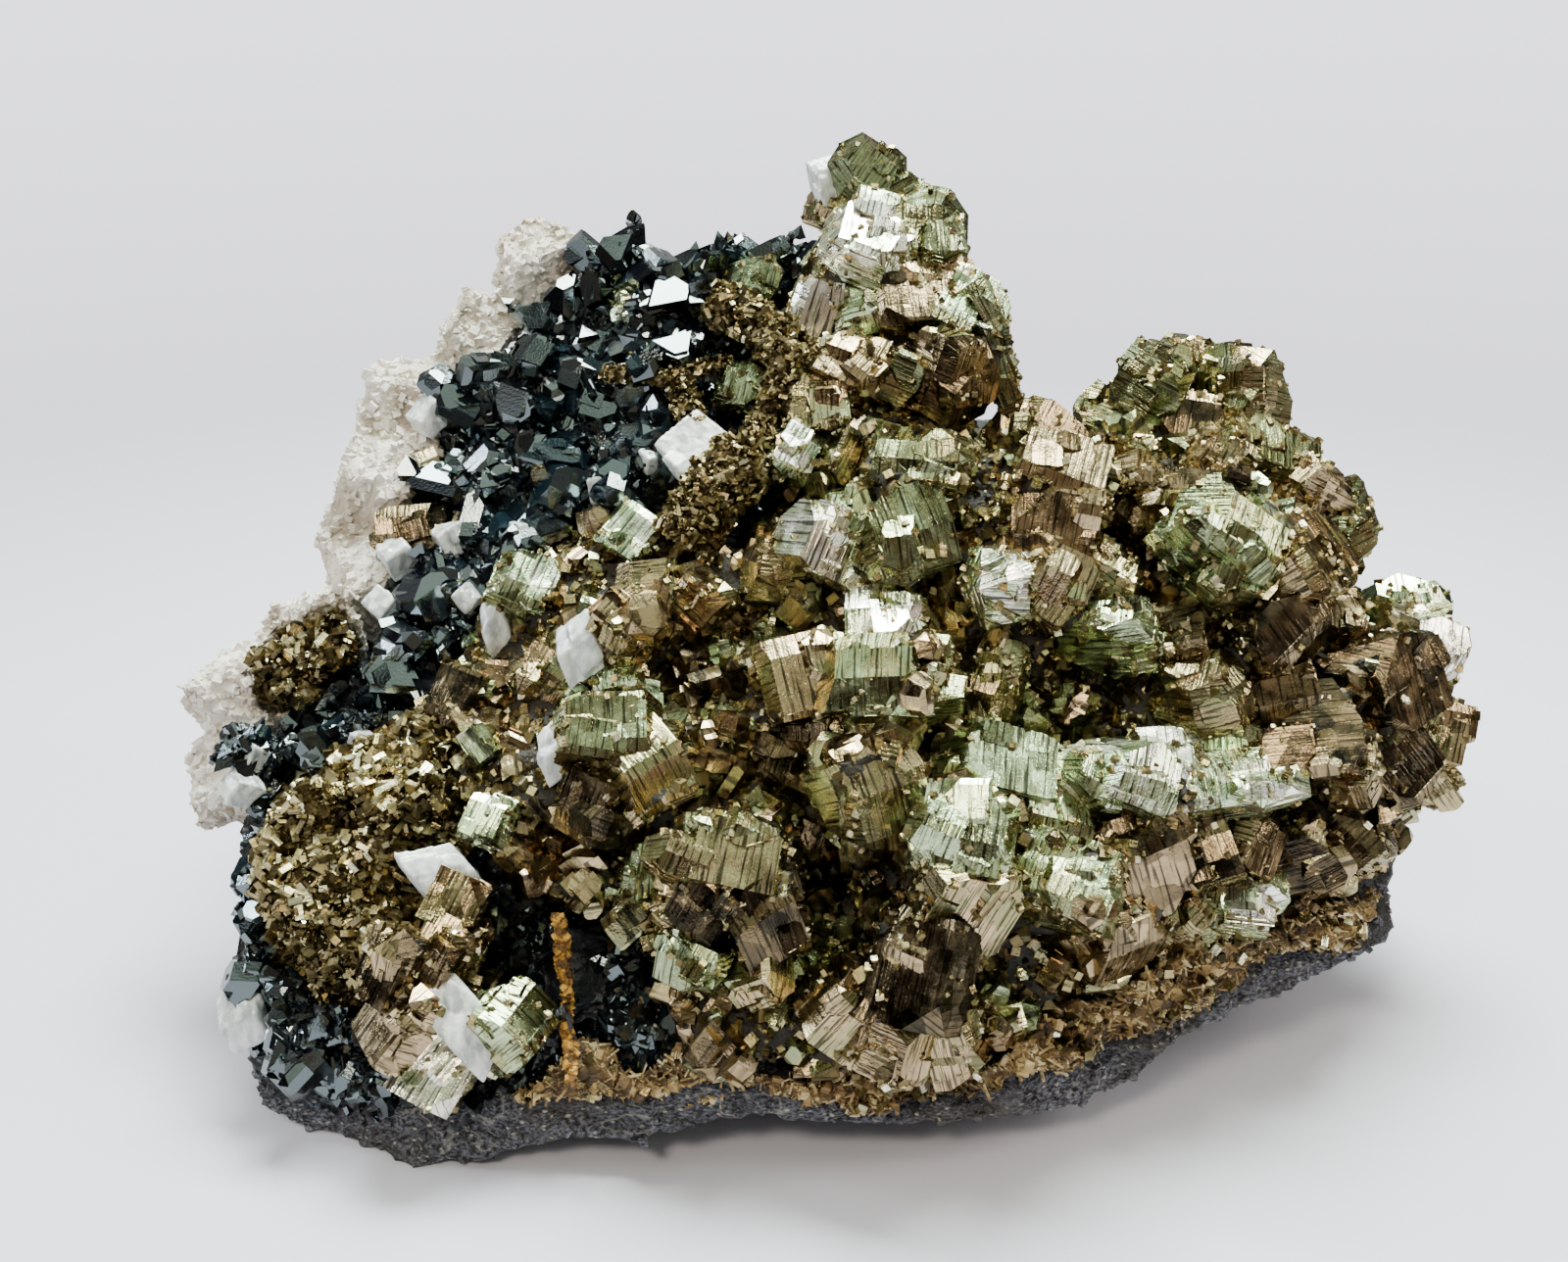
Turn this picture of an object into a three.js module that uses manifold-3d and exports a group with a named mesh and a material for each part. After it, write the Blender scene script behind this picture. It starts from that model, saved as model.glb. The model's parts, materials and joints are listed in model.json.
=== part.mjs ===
// A cabinet specimen: brassy pyrite crystals grown over black sphalerite, with white calcite,
// on a broken slab of dark grey matrix that stands on its own flat underside.
// Millimetres, +Z up. The crystal face looks towards -Y and leans back. The origin is the centre
// of the specimen's bounding box, on the surface that it rests on.
import * as THREE from 'three';
import { ConvexGeometry } from 'three/addons/geometries/ConvexGeometry.js';
import { mergeVertices } from 'three/addons/utils/BufferGeometryUtils.js';
import Module from 'manifold-3d';

const wasm = await Module();
wasm.setup();

// Driving dimensions, in millimetres
const GAP = 0.3; // left between two pieces that touch
const ROCK_REAR = 46; // how far back the rock runs before its rear faces are broken away
const ROCK_FOOT_BELOW = 5; // how far the foot is drawn below the ground before it is cut flat
const ROCK_FOOT_HEIGHT = 20; // edge points up to this height have the foot behind them
const ROCK_SIDE_HEIGHT = 38; // from edge points of this height up the sides run straight back
const ROCK_ROUGHNESS = 1.3;
const CRUST = 4.6; // thickness of the crust that carries the large pyrite crystals
const THIN_CRUST = 2; // of the sphalerite and of the rusty rim

// The face is drawn from one eye point, in front of it and above it. A place on the face is written
// as the pixel where the eye sees it in a picture of 1600 x 1288 pixels.
const PICTURE = { width: 1600, height: 1288, focal: 1500 };
const EYE = new THREE.Vector3(-4.35, -120.2, 82.5);
const PITCH = THREE.MathUtils.degToRad(22.16);
const FORWARD = new THREE.Vector3(0, Math.cos(PITCH), -Math.sin(PITCH));
const RIGHT = new THREE.Vector3(1, 0, 0);
const UPWARD = new THREE.Vector3(0, Math.sin(PITCH), Math.cos(PITCH));
const MIDDLE = [820, 740]; // the pixel that the rock's outline is drawn around

// How far the rock's face is from the eye, in millimetres, at chosen pixels of the picture
const RELIEF = [
  { px: [420, 1195], far: 115 }, { px: [262, 1130], far: 119.5 }, { px: [560, 1165], far: 113.5 },
  { px: [700, 1155], far: 112.5 }, { px: [850, 1150], far: 112 }, { px: [1000, 1150], far: 113 },
  { px: [1170, 1105], far: 117 }, { px: [1330, 1005], far: 122 }, { px: [1430, 950], far: 125.5 },
  { px: [225, 1000], far: 122.5 }, { px: [220, 880], far: 125.5 }, { px: [235, 740], far: 128.5 },
  { px: [310, 650], far: 131.5 }, { px: [390, 540], far: 136 }, { px: [390, 420], far: 141 },
  { px: [520, 330], far: 143 }, { px: [590, 260], far: 144 }, { px: [740, 250], far: 143.5 },
  { px: [880, 210], far: 139 }, { px: [985, 320], far: 136 }, { px: [1010, 440], far: 135 },
  { px: [1130, 430], far: 137.5 }, { px: [1215, 390], far: 138 }, { px: [1320, 450], far: 139 },
  { px: [1385, 560], far: 137.5 }, { px: [1460, 640], far: 137 }, { px: [1465, 770], far: 134 },
  { px: [1430, 860], far: 129 }, { px: [560, 420], far: 139 }, { px: [450, 470], far: 139 },
  { px: [650, 380], far: 139 }, { px: [620, 480], far: 136 }, { px: [480, 600], far: 133 },
  { px: [420, 690], far: 131 }, { px: [300, 780], far: 127 }, { px: [370, 880], far: 121 },
  { px: [340, 1080], far: 119 }, { px: [470, 1000], far: 118 }, { px: [600, 1010], far: 122 },
  { px: [560, 850], far: 121 }, { px: [740, 920], far: 115 }, { px: [560, 660], far: 127 },
  { px: [690, 720], far: 125.5 }, { px: [820, 600], far: 128 }, { px: [880, 700], far: 122 },
  { px: [960, 850], far: 114 }, { px: [840, 950], far: 119 }, { px: [940, 1030], far: 113.5 },
  { px: [1085, 740], far: 125.5 }, { px: [1070, 520], far: 127 }, { px: [930, 470], far: 131 },
  { px: [720, 490], far: 132 }, { px: [780, 390], far: 135 }, { px: [890, 290], far: 136 },
  { px: [1250, 560], far: 127 }, { px: [1250, 700], far: 123 }, { px: [1200, 840], far: 119.5 },
  { px: [1380, 720], far: 128 }, { px: [1100, 950], far: 118 }, { px: [1300, 880], far: 122.5 },
];
const RELIEF_BLUR = 75; // pixels over which one relief height runs into the next

// The rock's edge as the eye sees it, clockwise from the lower left corner
const ROCK_OUTLINE = [
  [246, 1075], [233, 980], [240, 830], [285, 725], [384, 650], [399, 560], [413, 455], [530, 345],
  [592, 279], [700, 262], [842, 240], [930, 262], [985, 382], [1005, 445], [1110, 448],
  [1220, 402], [1318, 474], [1382, 592], [1452, 690], [1450, 810], [1424, 905], [1430, 958],
  [1332, 1010], [1202, 1065], [1160, 1114], [1060, 1150], [920, 1158], [762, 1148], [640, 1174],
  [575, 1168], [500, 1192], [410, 1200], [328, 1180], [264, 1140],
];
const FRONT_RINGS = [1, 0.86, 0.5]; // shares of the outline, from the edge inwards
const BACK_RINGS = [{ inward: 0.03, back: 0.35 }, { inward: 0.06, back: 1 }];

// The flat breaks of the rock's rear: which way each faces, and how far out it lies
const BREAKS = [
  { out: [0.05, 1, 0.12], at: 34 }, { out: [-0.8, 0.6, 0.05], at: 46 },
  { out: [0.75, 0.65, 0.1], at: 49 }, { out: [-0.45, 0.75, 0.5], at: 62 },
  { out: [0.45, 0.7, 0.55], at: 57 }, { out: [0.2, 0.9, 0.4], at: 47 },
  { out: [-0.3, 0.95, -0.1], at: 33 },
];

// A number from 0 to 1, always the same for the same arguments
function chance(a, b, c = 0) {
  const wave = Math.sin(a * 12.9898 + b * 78.233 + c * 37.719) * 43758.5453;
  return wave - Math.floor(wave);
}

function reliefAt([x, y]) {
  let sum = 0;
  let weights = 0;
  for (const { px, far } of RELIEF) {
    const apart = ((x - px[0]) ** 2 + (y - px[1]) ** 2) / RELIEF_BLUR ** 2;
    const weight = 1 / (0.05 + apart) ** 2;
    sum += weight * far;
    weights += weight;
  }
  return sum / weights;
}

// The line of sight through a pixel, one millimetre long when measured straight ahead
function sightLine([x, y]) {
  return FORWARD.clone()
    .addScaledVector(RIGHT, (x - PICTURE.width / 2) / PICTURE.focal)
    .addScaledVector(UPWARD, (PICTURE.height / 2 - y) / PICTURE.focal);
}

function pointAt(px, far) {
  return EYE.clone().addScaledVector(sightLine(px), far);
}

function toSolid(geometry) {
  geometry.deleteAttribute('normal');
  geometry.deleteAttribute('uv');
  const merged = mergeVertices(geometry, 1e-4);
  return new wasm.Manifold(new wasm.Mesh({
    numProp: 3,
    vertProperties: merged.getAttribute('position').array,
    triVerts: new Uint32Array(merged.index.array),
  }));
}

function toGeometry(solid) {
  const { vertProperties, triVerts } = solid.getMesh();
  const geometry = new THREE.BufferGeometry();
  geometry.setAttribute('position', new THREE.BufferAttribute(vertProperties, 3));
  geometry.setIndex(new THREE.BufferAttribute(triVerts, 1));
  const faceted = geometry.toNonIndexed();
  faceted.computeVertexNormals();
  return faceted;
}

const join = (solids) => solids.reduce((all, next) => all.add(next));

// The largest body of a solid that a cut may have left in several
function largest(solid) {
  return solid.decompose().reduce((a, b) => (a.volume() > b.volume() ? a : b));
}

// The rock's points: rings drawn in from its outline over the face, and others running back from it
function rockRings() {
  const rings = FRONT_RINGS.map((share, ring) => ROCK_OUTLINE.map(([x, y], i) => {
    const px = [MIDDLE[0] + (x - MIDDLE[0]) * share, MIDDLE[1] + (y - MIDDLE[1]) * share];
    const rough = ring === 0 ? 0 : (chance(i, ring) - 0.5) * ROCK_ROUGHNESS;
    return pointAt(px, reliefAt(px) + rough);
  }));
  const edge = rings[0];
  const rear = new THREE.Vector3(0, ROCK_REAR, 26);
  const behind = BACK_RINGS.map(({ inward, back }, ring) => edge.map((point, i) => {
    const sink = 1 - THREE.MathUtils.smoothstep(point.z, ROCK_FOOT_HEIGHT, ROCK_SIDE_HEIGHT);
    const sunk = THREE.MathUtils.lerp(point.z, -ROCK_FOOT_BELOW, sink);
    const rough = (chance(i, ring, 7) - 0.5) * 2 * ROCK_ROUGHNESS;
    return new THREE.Vector3(
      THREE.MathUtils.lerp(point.x, rear.x, inward) + rough,
      THREE.MathUtils.lerp(point.y, rear.y, back),
      THREE.MathUtils.lerp(sunk, rear.z, inward) + rough,
    );
  }));
  return { front: rings.reverse(), behind, rear };
}

const ROOM = 300; // larger than the whole specimen

// All the space beyond one flat break
function beyond({ out, at }) {
  const turn = new THREE.Quaternion()
    .setFromUnitVectors(new THREE.Vector3(0, 0, 1), new THREE.Vector3(...out).normalize());
  return toSolid(new THREE.BoxGeometry(ROOM, ROOM, ROOM)
    .translate(0, 0, ROOM / 2 + at).applyQuaternion(turn));
}

// The rock grown by one amount over its face and by another along its edge and behind
function rockSolid(grow, faceGrow = grow) {
  const { front, behind, rear } = rockRings();
  const rings = [...front, ...behind];
  const count = ROCK_OUTLINE.length;
  const points = [pointAt(MIDDLE, reliefAt(MIDDLE)), ...rings.flat(), rear];
  const at = (ring, i) => 1 + ring * count + (i % count);
  const faces = [];
  for (let i = 0; i < count; i++) {
    faces.push([0, at(0, i + 1), at(0, i)]);
    for (let ring = 0; ring + 1 < rings.length; ring++) {
      faces.push([at(ring, i), at(ring, i + 1), at(ring + 1, i)]);
      faces.push([at(ring, i + 1), at(ring + 1, i + 1), at(ring + 1, i)]);
    }
    faces.push([points.length - 1, at(rings.length - 1, i), at(rings.length - 1, i + 1)]);
  }
  const geometry = new THREE.BufferGeometry().setFromPoints(points);
  geometry.setIndex(faces.flat());
  geometry.computeVertexNormals();
  const position = geometry.getAttribute('position');
  const normal = geometry.getAttribute('normal');
  const faceCount = at(front.length - 1, 0);
  for (let i = 0; i < position.count; i++) {
    const own = i < faceCount ? faceGrow : grow;
    position.setXYZ(
      i,
      position.getX(i) + normal.getX(i) * own,
      position.getY(i) + normal.getY(i) * own,
      position.getZ(i) + normal.getZ(i) * own,
    );
  }
  const away = BREAKS.map(({ out, at }) => beyond({ out, at: at + grow }));
  return toSolid(geometry).subtract(join(away));
}

// Everything above the surface that the specimen rests on
const aboveGround = toSolid(new THREE.BoxGeometry(ROOM, ROOM, ROOM).translate(0, 0, ROOM / 2));
const matrixSolid = rockSolid(0).intersect(aboveGround);
const matrixMesh = new THREE.Mesh(toGeometry(matrixSolid));
const caster = new THREE.Raycaster();

// The point of the rock that the eye sees at a pixel, or the relief's own where it passes the rock
function seatAt(px) {
  const line = sightLine(px);
  caster.set(EYE, line.clone().normalize());
  const hit = caster.intersectObject(matrixMesh)[0];
  return hit ? hit.point.clone() : pointAt(px, reliefAt(px));
}

// Crystal forms: each is a set of face directions with its distance from the middle, as a share of
// the crystal's half size. `uneven` is how far the distances differ, as on real crystals.
const corners = [-1, 1].flatMap((x) => [-1, 1].flatMap((y) => [-1, 1].map((z) => [x, y, z])));
const cubeFaces = [[1, 0, 0], [-1, 0, 0], [0, 1, 0], [0, -1, 0], [0, 0, 1], [0, 0, -1]];
const pyritohedronFaces = [-1, 1].flatMap((a) => [-2, 2].flatMap((b) => (
  [[b, a, 0], [0, b, a], [a, 0, b]]
)));
const rhombFaces = [0, 120, 240].flatMap((turn) => {
  const angle = THREE.MathUtils.degToRad(turn);
  const side = [Math.cos(angle), Math.sin(angle), 0.75];
  return [side, side.map((v) => -v)];
});
const LUMP_SIDES = 8;
const GOLDEN_ANGLE = 2.39996;
const lumpFaces = Array.from({ length: LUMP_SIDES }, (_, i) => {
  const z = 1 - (2 * i + 1) / LUMP_SIDES;
  const r = Math.sqrt(1 - z * z);
  return [r * Math.cos(i * GOLDEN_ANGLE), r * Math.sin(i * GOLDEN_ANGLE), z];
});
const tetrahedronFaces = corners.filter(([x, y, z]) => x * y * z > 0);
const oppositeFaces = corners.filter(([x, y, z]) => x * y * z < 0);
const FORMS = {
  pyritohedron: { faces: [[pyritohedronFaces, 0.94]], uneven: 0.22 },
  cube: { faces: [[cubeFaces, 0.82]], uneven: 0.24 },
  stepped: { faces: [[cubeFaces, 0.86], [pyritohedronFaces.slice(0, 1), 0.86]], uneven: 0.3 },
  tetrahedral: {
    faces: [[tetrahedronFaces, 0.62], [oppositeFaces.slice(0, 1), 0.9]], uneven: 0.4,
  },
  rhomb: { faces: [[rhombFaces, 0.75]], uneven: 0.2 },
  lump: { faces: [[lumpFaces, 0.9]], uneven: 0.2 },
};

// The corner points of a form: every meeting of three faces that no other face cuts off
function formPoints(form, size, stretch, seed, grow) {
  const { faces, uneven } = FORMS[form];
  const planes = faces.flatMap(([list, distance]) => list.map((direction) => ({
    direction: new THREE.Vector3(...direction).normalize(), distance,
  })));
  planes.forEach((plane, i) => {
    const own = plane.distance * (1 + uneven * (chance(seed, i, 3) - 0.5));
    const scaled = plane.direction.clone().divide(stretch);
    const length = scaled.length();
    plane.direction = scaled.divideScalar(length);
    plane.distance = (own * size) / 2 / length + grow;
  });
  const points = [];
  for (let a = 0; a < planes.length; a++) {
    for (let b = a + 1; b < planes.length; b++) {
      const across = planes[a].direction.clone().cross(planes[b].direction);
      for (let c = b + 1; c < planes.length; c++) {
        const volume = across.dot(planes[c].direction);
        if (Math.abs(volume) < 1e-3) continue;
        const point = across.clone().multiplyScalar(planes[c].distance)
          .addScaledVector(
            planes[b].direction.clone().cross(planes[c].direction), planes[a].distance)
          .addScaledVector(
            planes[c].direction.clone().cross(planes[a].direction), planes[b].distance)
          .divideScalar(volume);
        const outside = planes.some((p) => p.direction.dot(point) > p.distance + 1e-5);
        if (!outside && !points.some((p) => p.distanceTo(point) < 1e-3)) points.push(point);
      }
    }
  }
  return points;
}

// One crystal, seated on the rock at a pixel and lifted towards the eye. `turn` is in degrees,
// about the picture's own right, away and up directions; without it the crystal lies at random.
function crystal({ px, mm, form, lift = 3, stretch = [1, 1, 1], turn }, grow = 0) {
  const seed = px[0] * 0.37 + px[1] * 0.61;
  const angles = turn ?? [0, 1, 2].map((k) => 360 * chance(px[0], px[1], k));
  const [right, away, up] = angles.map(THREE.MathUtils.degToRad);
  const facing = new THREE.Quaternion().setFromEuler(new THREE.Euler(-PITCH, 0, 0))
    .multiply(new THREE.Quaternion().setFromEuler(new THREE.Euler(right, away, up)));
  const middle = seatAt(px).addScaledVector(sightLine(px), -lift);
  const points = formPoints(form, mm, new THREE.Vector3(...stretch), seed, grow)
    .map((point) => point.applyQuaternion(facing).add(middle));
  return toSolid(new ConvexGeometry(points));
}

// A thin crust over the rock's face, inside an outline that runs clockwise in the picture
const NEAR = 80; // the depths between which the outline is carried through space
const FAR = 170;
function crust({ outline, thick }, grow) {
  const wider = (grow * PICTURE.focal) / NEAR;
  const shape = new THREE.Shape(outline.map(([x, y], i) => {
    const [ax, ay] = outline.at(i - 1);
    const [bx, by] = outline[(i + 1) % outline.length];
    const along = new THREE.Vector2(bx - ax, by - ay).normalize();
    return new THREE.Vector2(x + along.y * wider, along.x * wider - y);
  }));
  const wedge = new THREE.ExtrudeGeometry(shape, { depth: 1, bevelEnabled: false });
  const position = wedge.getAttribute('position');
  for (let i = 0; i < position.count; i++) {
    const far = THREE.MathUtils.lerp(FAR, NEAR, position.getZ(i));
    const point = pointAt([position.getX(i), -position.getY(i)], far);
    position.setXYZ(i, point.x, point.y, point.z);
  }
  return rockSolid(grow, thick + grow).intersect(toSolid(wedge));
}

// The outlines of the crusts
const PEAK_FIELD = [
  [868, 168], [905, 168], [944, 215], [1020, 340], [1012, 420], [960, 452], [826, 420], [808, 330],
  [838, 220],
];
const MASS_FIELD = [
  [520, 590], [620, 530], [770, 560], [830, 432], [1010, 440], [1215, 360], [1290, 385],
  [1405, 520], [1405, 590], [1485, 650], [1485, 790], [1400, 900], [1170, 980], [1000, 1080],
  [850, 1095], [700, 1080], [672, 960], [550, 920], [470, 820], [440, 750], [490, 640],
];
const DOME_FIELD = [
  [300, 760], [400, 745], [462, 770], [480, 960], [440, 1000], [320, 1040], [290, 950],
];
const LOWER_LEFT_FIELD = [[385, 1012], [500, 1000], [545, 1040], [530, 1095], [420, 1122]];
const RIM_FIELD = [
  [430, 1122], [680, 1085], [930, 1097], [1050, 1047], [1170, 982], [1400, 902], [1450, 862],
  [1470, 880], [1380, 962], [1170, 1052], [1040, 1120], [850, 1135], [590, 1142],
];

// Large pyrite crystals of the top point
const PEAK = [
  { px: [884, 180], mm: 6.6, form: 'pyritohedron' },
  { px: [881, 254], mm: 8.8, form: 'stepped', lift: 5, turn: [-34, 12, 8] },
  { px: [944, 244], mm: 8, form: 'pyritohedron' },
  { px: [833, 318], mm: 5.8, form: 'cube', lift: 4, turn: [12, 18, 8], stretch: [0.85, 0.8, 1.25] },
  { px: [940, 308], mm: 8, form: 'stepped', lift: 4, stretch: [0.8, 1, 1.3] },
  { px: [985, 322], mm: 7, form: 'cube', lift: 4.5, turn: [-30, 25, 18] },
  { px: [1008, 348], mm: 6.4, form: 'stepped', lift: 4.3, stretch: [0.7, 1, 1.5], turn: [8, -18, -14] },
  { px: [972, 380], mm: 8.4, form: 'stepped', lift: 5, turn: [24, 10, 30] },
  { px: [862, 380], mm: 6.8, form: 'cube', lift: 5, turn: [-25, 28, 4] },
  { px: [840, 412], mm: 6.4, form: 'stepped', lift: 4 },
];

// Large pyrite crystals of the right-hand side, from its crest down to the rim
const RIGHT_SIDE = [
  { px: [1170, 392], mm: 7.4, form: 'stepped', lift: 4.6 },
  { px: [1262, 402], mm: 8, form: 'stepped', lift: 4.5 },
  { px: [1058, 456], mm: 7.4, form: 'cube', lift: 4.6, turn: [-28, 20, 35], stretch: [1.2, 1, 0.8] },
  { px: [1290, 472], mm: 9, form: 'stepped', lift: 5, stretch: [1.3, 0.9, 0.8], turn: [-35, 10, 20] },
  { px: [1318, 514], mm: 8.4, form: 'stepped', lift: 4.5 },
  { px: [1226, 505], mm: 8.4, form: 'cube', lift: 7, stretch: [1.35, 0.8, 0.5], turn: [-10, 8, -6] },
  { px: [1078, 492], mm: 8.2, form: 'cube', lift: 6, turn: [-30, 18, 10], stretch: [1.1, 1, 0.8] },
  { px: [1072, 540], mm: 8.8, form: 'stepped', lift: 8, turn: [6, 10, -6] },
  { px: [1146, 524], mm: 8, form: 'stepped', lift: 5 },
  { px: [1246, 545], mm: 9.4, form: 'stepped', lift: 8, turn: [-28, 22, 28], stretch: [1.2, 1, 0.9] },
  { px: [1316, 582], mm: 10, form: 'cube', lift: 8, turn: [-22, -26, 38], stretch: [1.2, 1, 0.85] },
  { px: [1366, 538], mm: 7.6, form: 'stepped', lift: 4.6 },
  { px: [1026, 598], mm: 7, form: 'pyritohedron', lift: 7 },
  { px: [1076, 598], mm: 6.8, form: 'cube', lift: 8, turn: [-12, 24, 6] },
  { px: [1134, 650], mm: 7.4, form: 'cube', lift: 6, stretch: [1.2, 1, 0.6], turn: [-38, 14, -22] },
  { px: [1284, 648], mm: 9, form: 'stepped', lift: 6.5 },
  { px: [1448, 660], mm: 7.6, form: 'cube', lift: 4.7, turn: [10, 24, 14] },
  { px: [1228, 712], mm: 8.4, form: 'pyritohedron', lift: 7 },
  { px: [1396, 696], mm: 10, form: 'stepped', lift: 5.5, turn: [12, -20, 30] },
  { px: [1448, 744], mm: 7, form: 'cube', lift: 4.6, turn: [-14, 18, 4] },
  { px: [1342, 766], mm: 9.4, form: 'stepped', lift: 7 },
  { px: [1402, 784], mm: 9, form: 'stepped', lift: 5 },
  { px: [1148, 800], mm: 9, form: 'stepped', lift: 9, stretch: [1.05, 0.9, 0.75], turn: [-26, 14, 20] },
  { px: [1236, 808], mm: 9, form: 'stepped', lift: 9, stretch: [1.25, 0.9, 0.62], turn: [-24, -6, -10] },
  { px: [1162, 870], mm: 9, form: 'cube', lift: 5.5, turn: [20, -20, 12] },
];

// Large pyrite crystals of the middle, and the lumps of fine pyrite between them
const MIDDLE_PART = [
  { px: [936, 484], mm: 9.4, form: 'cube', lift: 7.5, stretch: [1.15, 1, 0.75], turn: [-26, 12, -12] },
  { px: [842, 560], mm: 7.8, form: 'cube', lift: 7.5, stretch: [1.2, 0.8, 0.8], turn: [-8, 22, 38] },
  { px: [924, 554], mm: 8, form: 'cube', lift: 6.5, turn: [-16, -18, 4] },
  { px: [908, 640], mm: 7, form: 'stepped', lift: 5 },
  { px: [640, 548], mm: 5.6, form: 'cube', lift: 5, turn: [-24, 34, 8] },
  { px: [534, 598], mm: 6, form: 'stepped', lift: 5, turn: [-34, 14, 24] },
  { px: [642, 642], mm: 6.6, form: 'cube', lift: 6, turn: [10, 36, -16] },
  { px: [554, 690], mm: 5.4, form: 'cube', lift: 4.5, turn: [-18, 26, 12] },
  { px: [470, 710], mm: 6, form: 'cube', lift: 4.7, turn: [-6, 20, -18], stretch: [1, 0.8, 1] },
  { px: [622, 752], mm: 8.6, form: 'cube', lift: 8, stretch: [1.15, 0.9, 0.72], turn: [-30, -4, 10] },
  { px: [652, 794], mm: 7.8, form: 'stepped', lift: 6 },
  { px: [820, 688], mm: 7.8, form: 'cube', lift: 7.5, turn: [-8, -14, 4] },
  { px: [893, 702], mm: 10, form: 'stepped', lift: 10, stretch: [1.25, 0.85, 0.75], turn: [-26, 4, -14] },
  { px: [888, 808], mm: 8.8, form: 'stepped', lift: 8, turn: [8, -14, 16] },
  { px: [1020, 792], mm: 9, form: 'stepped', lift: 8.5, stretch: [1.2, 0.9, 0.75], turn: [-32, 8, 14] },
  { px: [988, 854], mm: 8.4, form: 'cube', lift: 9.5, turn: [-22, 12, -4] },
  { px: [980, 910], mm: 8.4, form: 'cube', lift: 7, turn: [26, 24, 14] },
  { px: [1084, 904], mm: 9.4, form: 'stepped', lift: 7, stretch: [1.2, 1, 0.75], turn: [-22, 18, -20] },
  { px: [1134, 950], mm: 7.4, form: 'stepped', lift: 4.5 },
  { px: [752, 882], mm: 8.4, form: 'stepped', lift: 7, stretch: [1.25, 1, 0.8], turn: [-28, 10, 8] },
  { px: [770, 930], mm: 7.4, form: 'cube', lift: 6.5, turn: [22, -20, 28] },
  { px: [944, 988], mm: 9, form: 'cube', lift: 7.5, turn: [-4, 14, -32] },
  { px: [862, 1024], mm: 7.4, form: 'cube', lift: 5, turn: [12, 40, 10] },
];

// The fine-grained dome at the lower left, and the large crystals below it
const LEFT_DOME = [
  { px: [345, 860], mm: 12, form: 'lump', lift: 1.5 },
  { px: [420, 830], mm: 12, form: 'lump', lift: 1 },
  { px: [350, 940], mm: 12, form: 'lump', lift: 1.5 },
  { px: [440, 770], mm: 8.4, form: 'lump', lift: 1.5 },
  { px: [465, 920], mm: 4.8, form: 'cube', lift: 5, turn: [-14, 24, 6] },
];
const LOWER_LEFT = [
  { px: [406, 986], mm: 6.4, form: 'stepped', lift: 6.5, turn: [-4, 24, -30] },
  { px: [450, 976], mm: 6.6, form: 'cube', lift: 5.5, stretch: [0.8, 0.9, 1.2], turn: [0, 24, -14] },
  { px: [424, 1042], mm: 8.4, form: 'stepped', lift: 5 },
  { px: [444, 1092], mm: 6.4, form: 'cube', lift: 4.5, turn: [-20, 28, 12] },
  { px: [518, 1046], mm: 6.4, form: 'stepped', lift: 5 },
];
const LEFT_KNOB = [
  { px: [302, 684], mm: 7, form: 'lump', lift: 1 },
  { px: [332, 668], mm: 6.4, form: 'lump', lift: 1 },
];
const LONE_CRYSTAL = [
  { px: [420, 541], mm: 5.6, form: 'cube', turn: [-8, -6, 3], stretch: [1.2, 0.9, 0.85] },
];
const TOP_PAIR = [
  { px: [634, 286], mm: 3.4, form: 'stepped', lift: 3 },
  { px: [644, 314], mm: 4, form: 'pyritohedron', lift: 3 },
];

// Rods overgrown with fine pyrite: each runs through a few pixels, at one thickness and lift
const PYRITE_RODS = [
  { thick: 4.6, lift: 5.5, through: [[732, 312], [762, 324], [784, 340], [804, 356]] },
  { thick: 3, lift: 6.5, through: [[812, 356], [796, 396], [780, 428], [762, 464]] },
  { thick: 6.4, lift: 5, through: [[764, 470], [736, 494], [714, 522], [696, 550]] },
];
const PYRITE_BRANCH = [{ thick: 2.6, lift: 3.5, through: [[692, 384], [700, 412], [712, 442]] }];

// The thin rusty rod that stands in front of the hollow, from the pyrite down to the rim
const RUSTY_ROD = [
  { thick: 1.1, lift: 6, footLift: 3.2, through: [[570, 936], [578, 1020], [583, 1108]] },
];

// Black sphalerite: the large crystals by hand, and smaller ones filling the fields around them
const SPHALERITE_UPPER = [
  { px: [640, 252], mm: 5, form: 'tetrahedral' },
  { px: [680, 306], mm: 6.6, form: 'tetrahedral', lift: 3.5 },
  { px: [552, 328], mm: 5.4, form: 'tetrahedral' },
  { px: [790, 262], mm: 4.6, form: 'tetrahedral' },
  { px: [528, 410], mm: 5, form: 'cube' },
  { px: [470, 420], mm: 4.6, form: 'cube', turn: [-20, 24, 14] },
  { px: [440, 492], mm: 5, form: 'tetrahedral' },
  { px: [482, 538], mm: 5.2, form: 'tetrahedral' },
  { px: [570, 500], mm: 5, form: 'cube', turn: [8, 30, 26], stretch: [0.8, 1, 1.2] },
  { px: [410, 662], mm: 5.2, form: 'tetrahedral' },
];
const SPHALERITE_LOWER = [
  { px: [262, 894], mm: 5, form: 'tetrahedral' },
  { px: [322, 770], mm: 5.4, form: 'tetrahedral' },
  { px: [250, 1000], mm: 4.6, form: 'tetrahedral' },
  { px: [300, 1090], mm: 4.4, form: 'cube' },
];
const UPPER_FIELD = [
  [592, 250], [812, 245], [806, 300], [724, 330], [706, 460], [672, 530], [560, 552], [470, 660],
  [440, 730], [398, 716], [392, 640], [430, 580], [420, 430], [545, 330],
];
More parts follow.
